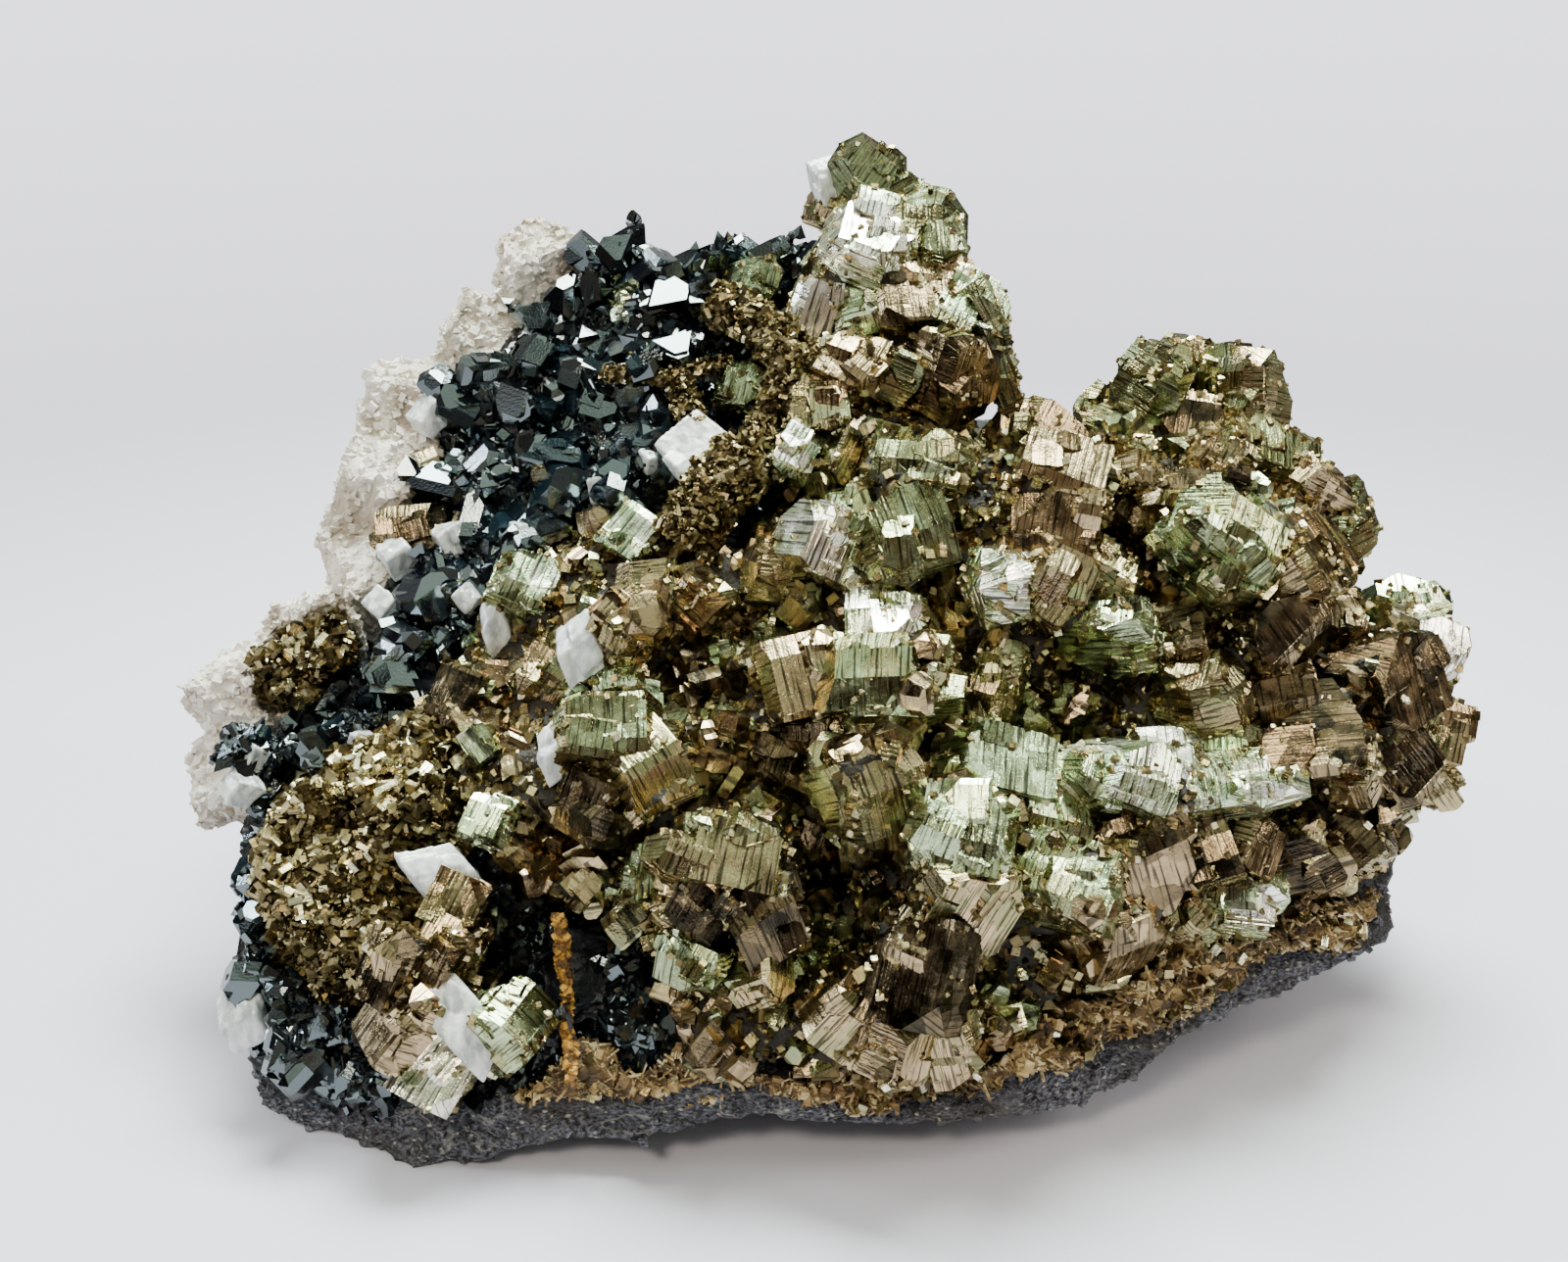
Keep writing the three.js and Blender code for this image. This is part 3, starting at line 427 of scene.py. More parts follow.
MIDDLE_PART = [
    grown(936, 484, 9.4, "cube", 0.58, 7.5, (1.15, 1, 0.75), (-26, 12, -12)),
    grown(842, 560, 7.8, "cube", SILVER_HIGHLIGHT, 7.5, (1.2, 0.8, 0.8), (-8, 22, 38)),
    grown(924, 554, 8, "cube", 0.63, 6.5, turn=(-16, -18, 4)),
    grown(908, 640, 7, "stepped", 0.9, 5),
    grown(640, 548, 5.6, "cube", 0.8, 5, turn=(-24, 34, 8)),
    grown(534, 598, 6, "stepped", 0.82, 5, turn=(-34, 14, 24)),
    grown(642, 642, 6.6, "cube", 0.4, 6, turn=(10, 36, -16)),
    grown(554, 690, 5.4, "cube", 0.4, 4.5, turn=(-18, 26, 12)),
    grown(470, 710, 6, "cube", 0.16, 4.7, (1, 0.8, 1), (-6, 20, -18)),
    grown(622, 752, 8.6, "cube", 0.6, 8, (1.15, 0.9, 0.72), (-30, -4, 10)),
    grown(652, 794, 7.8, "stepped", 0.46, 6),
    grown(820, 688, 7.8, "cube", 0.43, 7.5, turn=(-8, -14, 4)),
    grown(893, 702, 10, "stepped", 0.6, 10, (1.25, 0.85, 0.75), (-26, 4, -14)),
    grown(888, 808, 8.8, "stepped", 0.45, 8, turn=(8, -14, 16)),
    grown(1020, 792, 9, "stepped", 0.76, 8.5, (1.2, 0.9, 0.75), (-32, 8, 14)),
    grown(988, 854, 8.4, "cube", 0.74, 9.5, turn=(-22, 12, -4)),
    grown(980, 910, 8.4, "cube", 0.4, 7, turn=(26, 24, 14)),
    grown(1084, 904, 9.4, "stepped", 0.62, 7, (1.2, 1, 0.75), (-22, 18, -20)),
    grown(1134, 950, 7.4, "stepped", 0.24, 4.5),
    grown(752, 882, 8.4, "stepped", 0.5, 7, (1.25, 1, 0.8), (-28, 10, 8)),
    grown(770, 930, 7.4, "cube", 0.12, 6.5, turn=(22, -20, 28)),
    grown(944, 988, 9, "cube", 0.14, 7.5, turn=(-4, 14, -32)),
    grown(862, 1024, 7.4, "cube", 0.42, 5, turn=(12, 40, 10)),
    grown(812, 464, 5.6, "cube", 0.9, 4.5, turn=(-20, 30, 14)),
    grown(872, 470, 6.1, "stepped", 0.44, 4.5, (1.3, 1, 0.8)),
    grown(876, 524, 5.6, "cube", 0.68, 5),
    grown(792, 580, 5.6, "stepped", 0.42, 4.5),
    grown(968, 590, 6.4, "stepped", 0.28, 4.5),
    grown(664, 602, 5.3, "stepped", 0.46, 5),
    grown(718, 612, 6.1, "stepped", 0.42, 4.5),
    grown(632, 690, 5.1, "cube", 0.85, 4),
    grown(1018, 704, 6.1, "cube", 0.48, 4.5, (0.8, 0.8, 1.3), (6, 10, -28)),
    grown(850, 752, 6.4, "stepped", 0.2, 5.5),
    grown(908, 756, 6.7, "stepped", 0.28, 6.5),
    grown(606, 822, 6.4, "stepped", 0.2, 5.5, turn=(10, 20, -30)),
    grown(816, 790, 6.4, "cube", 0.2, 3.5, (1.2, 0.9, 0.8), (-30, 16, 20)),
    grown(950, 800, 5.6, "cube", 0.38, 6.5, turn=(-10, 20, 8)),
    grown(504, 842, 4.8, "cube", MINT_SHEEN, 4, turn=(-22, 20, -8)),
    grown(668, 894, 5.3, "stepped", MINT_SHEEN, 4.5, (0.9, 0.6, 1.2), (-8, 8, 16)),
    grown(1058, 848, 6.7, "stepped", 0.62, 5.5),
    grown(728, 922, 5.9, "cube", 0.12, 7, turn=(16, 28, -26)),
    grown(712, 978, 5.9, "cube", 0.7, 5.5, (1, 0.9, 0.8), (14, 10, -34)),
    grown(774, 984, 5.9, "stepped", 0.44, 5.5, (1.2, 0.9, 0.8)),
    grown(912, 1054, 6.7, "stepped", 0.42, 5, turn=(10, 16, 40)),
    grown(970, 1052, 6.4, "stepped", 0.44, 4, turn=(4, -14, -24)),
]
DOME_CRYSTALS = [grown(465, 920, 4.8, "cube", 0.46, 5, turn=(-14, 24, 6))]
LOWER_LEFT = [
    grown(406, 986, 6.4, "stepped", 0.12, 6.5, turn=(-4, 24, -30)),
    grown(450, 976, 6.6, "cube", 0.27, 5.5, (0.8, 0.9, 1.2), (0, 24, -14)),
    grown(424, 1042, 8.4, "stepped", 0.3, 5),
    grown(444, 1092, 6.4, "cube", SILVER_HIGHLIGHT, 4.5, turn=(-20, 28, 12)),
    grown(518, 1046, 6.4, "stepped", 0.68, 5),
]
LONE_CRYSTAL = [grown(420, 541, 5.6, "cube", 0.2, 3, (1.2, 0.9, 0.85), (-8, -6, 3))]
YELLOW_GRAINS = [grown(438, 470, 2.4, "cube", 0.9, 3), grown(551, 480, 2.0, "stepped", 0.8, 3)]
TOP_PAIR = [
    grown(634, 286, 3.4, "stepped", 0.8),
    grown(644, 314, 4, "pyritohedron", 0.8),
]
SPHALERITE_UPPER = [
    grown(640, 252, 5, "tetrahedral", 0.2),
    grown(680, 306, 6.6, "tetrahedral", 0.5, 3.5),
    grown(552, 328, 5.4, "tetrahedral", 0.6),
    grown(790, 262, 4.6, "tetrahedral", 0.4),
    grown(528, 410, 5, "cube", 0.1),
    grown(470, 420, 4.6, "cube", 0.9, turn=(-20, 24, 14)),
    grown(440, 492, 5, "tetrahedral", 0.3),
    grown(482, 538, 5.2, "tetrahedral", 0.6),
    grown(570, 500, 5, "cube", 0.9, 3, (0.8, 1, 1.2), (8, 30, 26)),
    grown(410, 662, 5.2, "tetrahedral", 0.8),
    grown(596, 256, 4, "tetrahedral", 0.7),
    grown(712, 282, 4.4, "tetrahedral", 0.9),
    grown(452, 392, 4.6, "tetrahedral", 0.1),
    grown(574, 470, 4.4, "cube", 0.9, 3, (1.3, 1, 0.6), (-24, 10, 4)),
    grown(432, 612, 4.6, "cube", 0.7),
    grown(396, 690, 4.4, "tetrahedral", 0.4),
]
SPHALERITE_LOWER = [
    grown(262, 894, 5, "tetrahedral", 0.9),
    grown(322, 770, 5.4, "tetrahedral", 0.3),
    grown(250, 1000, 4.6, "tetrahedral", 0.3),
    grown(300, 1090, 4.4, "cube", 0.2),
]
CALCITE_GRAINS = [
    grown(x, y, mm, "rhomb", 0.6, 3) for x, y, mm in (
        (460, 553, 3.4), (532, 546, 2.8), (616, 500, 3.0), (436, 425, 3.6), (470, 490, 2.2),
        (404, 566, 3.8), (478, 612, 2.8), (560, 392, 2.2), (664, 470, 2.4), (388, 616, 3.0),
        (372, 762, 3.0), (246, 804, 3.2), (258, 770, 2.6),
    )
]
CALCITES = {
    "calcite_blade_lower_left": grown(
        476, 1046, 7.6, "rhomb", 0.5, 7.5, (0.62, 0.3, 1.05), (-6, -18, 14)),
    "calcite_blade_left": grown(450, 892, 6, "rhomb", 0.5, 6.5, (1.1, 0.35, 0.7), (-12, 10, 30)),
    "calcite_grain_centre_left": grown(
        567, 768, 4.6, "rhomb", 0.7, 6.5, (0.6, 0.5, 1), (0, 10, -8)),
    "calcite_plate_upper": grown(716, 466, 7.2, "rhomb", 0.6, 3.5, (1, 0.35, 1), (-8, -10, 24)),
    "calcite_plate_middle": grown(
        590, 664, 5.6, "rhomb", 0.4, 6.5, (0.8, 0.3, 1.05), (0, 12, -24)),
    "calcite_plate_left": grown(506, 634, 5.2, "rhomb", 0.6, 4.5, (0.45, 0.4, 1.2), (0, 0, -10)),
    "calcite_rim_lower_left": grown(
        248, 1042, 5.4, "rhomb", 0.5, 2.6, (0.8, 0.4, 0.95), (0, 14, -4)),
    "calcite_on_peak": grown(850, 184, 5.4, "rhomb", 0.5, 3, (0.9, 0.5, 0.9), (-10, 10, 20)),
}

# Rods: thickness, how far they stand off the rock at their start and end, and their pixels
PYRITE_RODS = [
    (4.2, 5.5, 5.5, [(732, 312), (762, 324), (784, 340), (804, 356)]),
    (2.6, 6.5, 6.5, [(812, 356), (796, 396), (780, 428), (762, 464)]),
    (5.8, 5, 5, [(764, 470), (736, 494), (714, 522), (696, 550)]),
]
PYRITE_BRANCH = [
    (2.6, 3.5, 3.5, [(692, 384), (700, 412), (712, 442)]),
    (1.2, 4.5, 4.5, [(616, 380), (664, 385), (712, 377), (748, 371)]),
]
RUSTY_ROD = [(0.8, 6, 3.2, [(570, 936), (578, 1020), (583, 1108)])]

# Deep dark clefts between the pyrite crystals: middle pixel, half width, half height, millimetres
CLEFTS = [
    ((1086, 725), 26, 62, 4), ((846, 900), 26, 60, 3.5), ((770, 640), 70, 26, 3),
    ((700, 700), 46, 44, 2.5), ((1010, 690), 40, 40, 2), ((600, 870), 60, 30, 2),
    ((1190, 610), 30, 30, 1.5), ((900, 430), 30, 24, 1.5), ((800, 520), 40, 24, 2),
]


# Where small sphalerite crystals grow on the bare rock: the whole left part of the face
ROCK_SPHALERITE = [
    (262, 780), (318, 680), (400, 650), (412, 560), (432, 460), (540, 350), (600, 285), (700, 250),
    (840, 250), (850, 460), (760, 560), (560, 640), (520, 760), (560, 900), (680, 930), (700, 1090),
    (560, 1110), (440, 1130), (350, 1140), (262, 1060),
]
HOLLOW = [((600, 1020), 60, 90, 2.6)]

# How far the rusty crust may stand off the rock: left of one pixel, and right of another
RUST_LEFT, RUST_RIGHT = (960, 0.8), (1080, 4.0)

# How far what lies under the rust's edge goes into the rock: square to it, and away from its rim
RUST_SINK = 1.2
INTO_ROCK = np.array((0, 1.2, 0.6))

# The pixels of the rusty crust's lower edge, under which the bare rock is seen
RUST_EDGE = [
    (430, 1118), (500, 1110), (560, 1122), (640, 1122), (730, 1106), (800, 1116), (870, 1138),
    (954, 1127), (1006, 1119), (1046, 1095), (1091, 1090), (1120, 1069), (1169, 1062),
    (1198, 1040), (1250, 1018), (1280, 985), (1317, 966), (1398, 966), (1427, 947),
]


# Meshes


def to_mesh(shape, name):
    mesh = bpy.data.meshes.new(name)
    mesh.from_pydata([tuple(point * MM) for point in shape["points"]], [], shape["faces"])
    tone = mesh.attributes.new("tone", "FLOAT", "FACE")
    tone.data.foreach_set("value", np.clip(shape["tones"], 0, 1))
    mesh.uv_layers.new(name="face lines")
    mesh.uv_layers[0].data.foreach_set("uv", np.array(shape["places"], float).ravel())
    return mesh


def finished_mesh(holder, name):
    """The mesh that an object has with its modifiers, as a plain mesh"""
    graph = bpy.context.evaluated_depsgraph_get()
    mesh = bpy.data.meshes.new_from_object(holder.evaluated_get(graph), depsgraph=graph)
    mesh.name = name
    bpy.data.objects.remove(holder)
    return mesh


def held(mesh, name):
    holder = bpy.data.objects.new(name, mesh)
    bpy.context.scene.collection.objects.link(holder)
    return holder


def set_points(mesh, points):
    points[:, 2] = np.maximum(points[:, 2], 0)
    mesh.vertices.foreach_set("co", (points * MM).ravel())
    mesh.update()


def bevelled(mesh, width):
    """A mesh of separate crystals with their edges taken off"""
    bodies = held(mesh, mesh.name)
    weld = bodies.modifiers.new("weld", "WELD")
    weld.merge_threshold = 1e-8
    bevel = bodies.modifiers.new("bevel", "BEVEL")
    bevel.width = width * MM
    bevel.segments = 1
    bevel.limit_method = "ANGLE"
    bevel.angle_limit = math.radians(12)
    return finished_mesh(bodies, mesh.name)


def joined(meshes, name):
    holders = [held(mesh, f"{name}_{i}") for i, mesh in enumerate(meshes)]
    if len(holders) > 1:
        with bpy.context.temp_override(
            active_object=holders[0], selected_editable_objects=holders, object=holders[0]
        ):
            bpy.ops.object.join()
    mesh = holders[0].data
    bpy.data.objects.remove(holders[0])
    mesh.name = name
    return mesh


def smoothstep(value):
    value = np.clip(value, 0, 1)
    return value * value * (3 - 2 * value)


def rough_copy(node, voxel, sink, rough, grain, clefts=()):
    """A closed copy of a solid with a natural, uneven surface, a little inside the solid's own"""
    source = frame["nodes"][node].data.copy()
    body = held(source, node)
    weld = body.modifiers.new("weld", "WELD")
    weld.merge_threshold = 1e-6
    remesh = body.modifiers.new("remesh", "REMESH")
    remesh.mode = "VOXEL"
    remesh.voxel_size = voxel * MM
    mesh = finished_mesh(body, node)
    points = points_of(mesh)
    normals = normals_of(mesh)
    waves = np.array([
        0.5 + 0.5 * noise.fractal(Vector(point * grain), 0.8, 2, 4) for point in points
    ])
    depth = sink + rough * np.clip(waves, 0, 1)
    points = points - normals * depth[:, None]
    seen = pixels_of(points)
    for px, wide, high, deep in clefts:
        apart = np.hypot((seen[:, 0] - px[0]) / wide, (seen[:, 1] - px[1]) / high)
        fall = deep * smoothstep(1.4 - apart) * (normals @ -FORWARD > 0.1)
        away = points - EYE
        away /= np.linalg.norm(away, axis=1)[:, None]
        points = points + away * fall[:, None]
    set_points(mesh, points)
    return mesh


# Where the three parts of a broken face's lean are read, so that they differ
LEAN_SHIFTS = [Vector(at) for at in ((0, 0, 0), (19.1, 7.3, 3.7), (5.9, 23.3, 11.7))]
FRONT_RIM = -16  # the rock stays whole before this


def break_up(mesh, deepest, size):
    """Breaks the sides and the back of the rock into leaning faces and hollows. Its underside and
    its front rim stay"""
    points, ways = points_of(mesh), normals_of(mesh)
    turned = smoothstep((ways @ FORWARD + 0.35) / 0.5) * smoothstep((ways[:, 2] + 0.9) / 0.4)
    turned *= smoothstep((points[:, 1] - FRONT_RIM) / 10)
    for i, point in enumerate(points):
        if turned[i] > 0:
            place = Vector(point / size)
            centre = noise.voronoi(place)[1][0]
            lean = Vector([noise.noise(centre * 3.1 + shift) for shift in LEAN_SHIFTS])
            broken = 0.5 + (place - centre).dot(lean) + 0.3 * noise.noise(centre * 5.3)
            broken += 0.35 * noise.fractal(place * 2.6, 0.8, 2, 3)
            points[i] -= ways[i] * deepest * turned[i] * min(max(broken, 0), 1)
    set_points(mesh, points)


def softened(mesh, voxel, rough):
    """A closed body with its edges worn soft and its faces uneven"""
    body = held(mesh, mesh.name)
    remesh = body.modifiers.new("remesh", "REMESH")
    remesh.mode = "VOXEL"
    remesh.voxel_size = voxel * MM
    smooth = body.modifiers.new("smooth", "SMOOTH")
    smooth.iterations = 5
    mesh = finished_mesh(body, mesh.name)
    points = points_of(mesh)
    waves = np.array([noise.fractal(Vector(point * 0.8), 0.8, 2, 3) for point in points])
    set_points(mesh, points + normals_of(mesh) * (rough * waves)[:, None])
    return mesh


def settle(mesh, left, right, edge):
    """Lowers what stands too far off the rock, to one height at the left and another at the right,
    and sinks what lies under the edge into the rock"""
    points = points_of(mesh)
    seen = pixels_of(points)
    share = smoothstep((seen[:, 0] - left[0]) / (right[0] - left[0]))
    most = left[1] + (right[1] - left[1]) * share
    edge_at = line_at(seen[:, 0], edge)
    for i, point in enumerate(points):
        spot, way, _, apart = rock_tree.find_nearest(Vector(point))
        uneven = noise.noise(Vector(point * 0.5))
        if seen[i, 1] > edge_at[i] + 8 * uneven:
            points[i] = np.array(spot - way * RUST_SINK) + INTO_ROCK
        elif apart > most[i]:
            own = most[i] * (0.7 + 0.6 * uneven)
            points[i] = np.array(spot) + (point - np.array(spot)) / apart * own
    set_points(mesh, points)


def mark_open(mesh, share):
    """Marks how open each point of a surface is to small crystals that grow on it"""
    if "open" not in mesh.attributes:
        mesh.attributes.new("open", "FLOAT", "POINT")
    mesh.attributes["open"].data.foreach_set("value", np.array(share, float))


def normals_of(mesh):
    return np.array([tuple(vertex.normal) for vertex in mesh.vertices])


def depth_inside(points, bodies):
    """How far points lie outside the nearest of the large crystals, negative inside one"""
    nearest = np.full(len(points), 1e3)  # as far as anything, where there is no crystal
    for ways, reach, turn, middle in bodies:
        own = (points - middle) @ turn
        nearest = np.minimum(nearest, (own @ ways.T - reach).max(axis=1))
    return nearest


def line_at(x, line):
    """How far down in the picture a line lies at some places across it"""
    return np.interp(x, [across for across, _ in line], [down for _, down in line])


def inside(seen, outline):
    """Which pixels lie inside an outline"""
    odd = np.zeros(len(seen), bool)
    for (ax, ay), (bx, by) in zip(outline, outline[1:] + outline[:1]):
        crosses = (ay > seen[:, 1]) != (by > seen[:, 1])
        level = np.where(ay == by, 0, ax + (seen[:, 1] - ay) * (bx - ax) / ((by - ay) or 1))
        odd ^= crosses & (seen[:, 0] < level)
    return odd


def facing_eye(mesh, least):
    """Which points of a surface are turned to the eye at least so much"""
    to_eye = EYE - points_of(mesh)
    turned = (to_eye * normals_of(mesh)).sum(axis=1) / np.linalg.norm(to_eye, axis=1)
    return turned > least


def clear_of(mesh, crystals, apart):
    """Which points of a surface lie well outside the large crystals"""
    return depth_inside(points_of(mesh), bodies_of(crystals)) > apart


def patches(mesh, size, share):
    """Which points of a surface lie in patches of about a size in millimetres"""
    return np.array([
        0.5 + noise.fractal(Vector(point / size), 0.7, 2, 3) < share for point in points_of(mesh)
    ])


def bodies_of(crystals):
    """The faces, the turn and the middle of each large crystal"""
    found = []
    for one in crystals:
        ways, reach = planes_of(one["form"], one["mm"], one["stretch"], seed_of(one))
        found.append((ways, reach, *stance(one)))
    return found


def small_turn(seed, most):
    """A turn of at most so many degrees about each axis"""
    angles = [math.radians(most) * (2 * chance(seed, k, 41) - 1) for k in range(3)]
    return np.array(Euler(angles).to_matrix())


# Growth steps on a large crystal: their size as a share of its own and how far they stand out as a
# share of its size, each as the least and the range, their twist in degrees, and the share of them
# that are pyritohedrons
STEP_SIZE, STEP_SIZE_RANGE = 0.24, 0.46
STEP_PROUD, STEP_PROUD_RANGE = 0.015, 0.055
STEP_TWIST = 12
STEP_PYRITOHEDRONS = 0.45
FAR_BEHIND = 150  # from the eye, in millimetres, behind every crystal
LINED_FACES = 0.6  # the share of the faces that have growth lines in relief


def crystals_mesh(name, crystals, steps=6, pitch=0.36, bevel=0.07):
    """Large crystals, each a main body with parallel growths on it, and growth lines in relief"""
    hulls, lines = new_shape(), new_shape()
    for one in crystals:
        seed = seed_of(one)
        turn, middle = stance(one)
        out = middle - (EYE + sight_line(one["px"]) * FAR_BEHIND)
        out /= np.linalg.norm(out)
        ways, reach = planes_of(one["form"], one["mm"], one["stretch"], seed)
        found = add_hull(hulls, ways, reach, turn, middle, one["tone"], seed)
        outer = [face for face in found if face[1] @ out > 0.05]
        growths = [(found, seed)]
        for k in range(steps if outer else 0):
            own, way = outer[int(chance(seed, k, 51) * len(outer))][:2]
            share = STEP_SIZE + STEP_SIZE_RANGE * chance(seed, k, 52)
            other = pitch and chance(seed, k, 57) < STEP_PYRITOHEDRONS
            form = "pyritohedron" if other else one["form"]
            small, near = planes_of(form, one["mm"] * share, one["stretch"], seed + k * 1.7)
            twist = turn @ small_turn(seed + k, STEP_TWIST)
            proud = one["mm"] * (STEP_PROUD + STEP_PROUD_RANGE * chance(seed, k, 53))
            spot = own[int(chance(seed, k, 54) * len(own))]
            foot = own.mean(axis=0) * 0.55 + spot * 0.45
            ahead = small @ (twist.T @ way)
            reached = (near / np.maximum(ahead, 1e-3))[ahead > 0.3].min()
            centre = foot + way * (proud - reached)
            shade = np.clip(one["tone"] + 0.14 * (chance(seed, k, 55) - 0.5), 0, 1)
            faces = add_hull(hulls, small, near, twist, centre, shade, seed + 3.1 * k)
            growths.append((faces, seed + k))
        for faces, own_seed in growths:
            for corners, way, along, tone, i in faces:
                if pitch and way @ out > -0.05 and chance(own_seed, i, 56) < LINED_FACES:
                    add_lines(lines, corners, way, along, tone, own_seed * 3.3 + i, pitch)
    meshes = [bevelled(to_mesh(hulls, name), bevel)]
    if lines["faces"]:
        meshes.append(to_mesh(lines, name + "_lines"))
    return joined(meshes, name)


def add_lines(shape, corners, way, along, tone, seed, pitch):
    """Growth lines in relief on one face, as low ridges of uneven width, height and length"""
    across = np.cross(way, along)
    centre = corners.mean(axis=0)
    outline = np.stack([(corners - centre) @ along, (corners - centre) @ across], axis=1)
    at, top = outline[:, 1].min(), outline[:, 1].max()
    step = 0
    while at < top:
        width = pitch * (0.35 + 1.3 * chance(seed, step, 21) ** 2)
        strip = clipped(clipped(outline, (0, 1), at + width), (0, -1), -at)
        if len(strip) > 2 and chance(seed, step, 23) < 0.45:
            left, right = strip[:, 0].min(), strip[:, 0].max()
            side = 1 if chance(seed, step, 24) < 0.5 else -1
            cut = left + (right - left) * (0.25 + 0.6 * chance(seed, step, 25))
            strip = clipped(strip, (side, 0), side * cut)
        if len(strip) > 2 and chance(seed, step, 22) < 0.72:
            high = 0.015 + 0.07 * chance(seed, step, 26) * min(1, width / 0.3)
            lean = 0.26 * (chance(seed, step, 27) - 0.5)
            shade = tone + 0.07 * (chance(seed, step, 28) - 0.5)
            ridge(shape, strip, centre, along, across, way, high, lean, shade)
        at += width
        step += 1


# Rods


def curve_points(through, steps):
    """A smooth line through points"""
    line = []
    ends = [through[0] * 2 - through[1], *through, through[-1] * 2 - through[-2]]
    for a, b, c, d in zip(ends, ends[1:], ends[2:], ends[3:]):
        for k in range(steps):
            t = k / steps
            line.append(0.5 * (
                2 * b + (c - a) * t + (2 * a - 5 * b + 4 * c - d) * t ** 2
                + (3 * b - a - 3 * c + d) * t ** 3))
    return [*line, through[-1]]


def rods_mesh(name, rods, rough, sides=12, steps=14):
    """Knobbly closed rods along their lines"""
    shape = new_shape()
    for thick, lift, foot_lift, pixels in rods:
        last = len(pixels) - 1
        through = [
            seat_at(px) - sight_line(px) * (lift + (foot_lift - lift) * i / last)
            for i, px in enumerate(pixels)
        ]
        line = curve_points(through, steps)
        rings = []
        for i, point in enumerate(line):
            ahead = line[min(i + 1, len(line) - 1)] - line[max(i - 1, 0)]
            ahead /= np.linalg.norm(ahead)
            side = np.cross(ahead, FORWARD)
            side /= np.linalg.norm(side)
            other = np.cross(side, ahead)
            for k in range(sides):
                angle = 2 * math.pi * k / sides
                out = side * math.cos(angle) + other * math.sin(angle)
                bump = noise.fractal(Vector((point + out * thick) * 0.5), 0.8, 2, 3)
                rings.append(point + out * thick * 0.5 * (0.92 + rough * bump))
        around = [(k, (k + 1) % sides) for k in range(sides)]
        last_ring = (len(line) - 1) * sides
        faces = [
            [ring + k, ring + after, ring + sides + after, ring + sides + k]
            for ring in range(0, last_ring, sides) for k, after in around
        ]
        faces.append(list(range(sides))[::-1])
        faces.append(list(range(last_ring, last_ring + sides)))
        flat = [[(0.0, 0.0)] * len(face) for face in faces]
        add_faces(shape, rings, faces, 0.3, flat)
    return to_mesh(shape, name)


# Small crystals repeated over a surface


def unit_crystals(name, forms, growths):
    """A collection of different crystals, each about one unit across"""
    kept = bpy.data.collections.new(name)
    bpy.context.scene.collection.children.link(kept)
    for k in range(UNIT_SHAPES):
        form, stretch = forms[k % len(forms)]
        shape = new_shape()
        seed = 5.3 + k * 2.9
        ways, reach = planes_of(form, 1, np.array(stretch, float), seed, growths > 0)
        faces = add_hull(shape, ways, reach, np.eye(3), np.zeros(3), 0.5, seed)
        for j in range(growths):
            own = faces[int(chance(seed, j, 61) * len(faces))][0]
            small, near = planes_of(form, 0.6, np.array(stretch, float), seed + j, False)
            centre = own.mean(axis=0) * (0.5 + 0.3 * chance(seed, j, 62))
            add_hull(shape, small, near, small_turn(seed + j, 9), centre, 0.5, seed + j)
        mesh = to_mesh(shape, f"{name}_{k}")
        mesh.attributes.remove(mesh.attributes["tone"])
        mesh.transform(Matrix.Scale(1 / MM, 4))
        kept.objects.link(bpy.data.objects.new(f"{name}_{k}", mesh))
    return kept


class Tree:
    """A node tree in the making, with short ways to add a node and to join two sockets"""

    def __init__(self, tree):
        self.tree = tree

    def feed(self, socket, value):
        if isinstance(value, bpy.types.NodeSocket):
            self.tree.links.new(value, socket)
        elif value is not None:
            socket.default_value = value

    def node(self, kind, settings=None, **inputs):
        node = self.tree.nodes.new(kind)
        for name, value in (settings or {}).items():
            setattr(node, name, value)
        for name, value in inputs.items():
            self.feed(node.inputs[name.replace("_", " ")], value)
        return node

    def first(self, kind, settings=None, **inputs):
        """The first output of a new node"""
        return self.node(kind, settings, **inputs).outputs[0]

    def maths(self, operation, *values):
        node = self.node("ShaderNodeMath", {"operation": operation})
        for socket, value in zip(node.inputs, values):
            self.feed(socket, value)
        return node.outputs[0]

    def vector(self, operation, *values, scale=None):
        """What a vector operation gives: a number for a length or a product, or else a vector"""
        node = self.node("ShaderNodeVectorMath", {"operation": operation})
        for socket, value in zip(node.inputs, values):
            self.feed(socket, value)
        if scale is not None:
            self.feed(node.inputs["Scale"], scale)
        return node.outputs["Value" if operation in ("LENGTH", "DOT_PRODUCT") else "Vector"]

    def noise(self, place, scale, detail):
        return self.first("ShaderNodeTexNoise", Vector=place, Scale=scale, Detail=detail)

    def spread(self, value, low=0.0, high=1.0, to=(0.0, 1.0), smooth=False):
        """A value spread from one range to another, and held to it"""
        settings = {"interpolation_type": "SMOOTHSTEP" if smooth else "LINEAR"}
        return self.first(
            "ShaderNodeMapRange", settings, Value=value, From_Min=low, From_Max=high,
            To_Min=to[0], To_Max=to[1])

    def mix(self, share, first, second):
        """A colour between two others"""
        node = self.node("ShaderNodeMix", {"data_type": "RGBA"})
        colour_inputs = [socket for socket in node.inputs if socket.type == "RGBA"]
        self.feed(node.inputs[0], share)
        for socket, value in zip(colour_inputs, (first, second)):
            self.feed(socket, (*value, 1) if isinstance(value, tuple) else value)
        return [socket for socket in node.outputs if socket.type == "RGBA"][0]


def socket_of(tree, name, kind, way="INPUT", value=None):
    socket = tree.interface.new_socket(name, in_out=way, socket_type=kind)
    if value is not None:
        socket.default_value = value


def enabled_input(node, name):
    """The input of a node that has a name and is in use"""
    return [socket for socket in node.inputs if socket.name == name and socket.enabled][0]


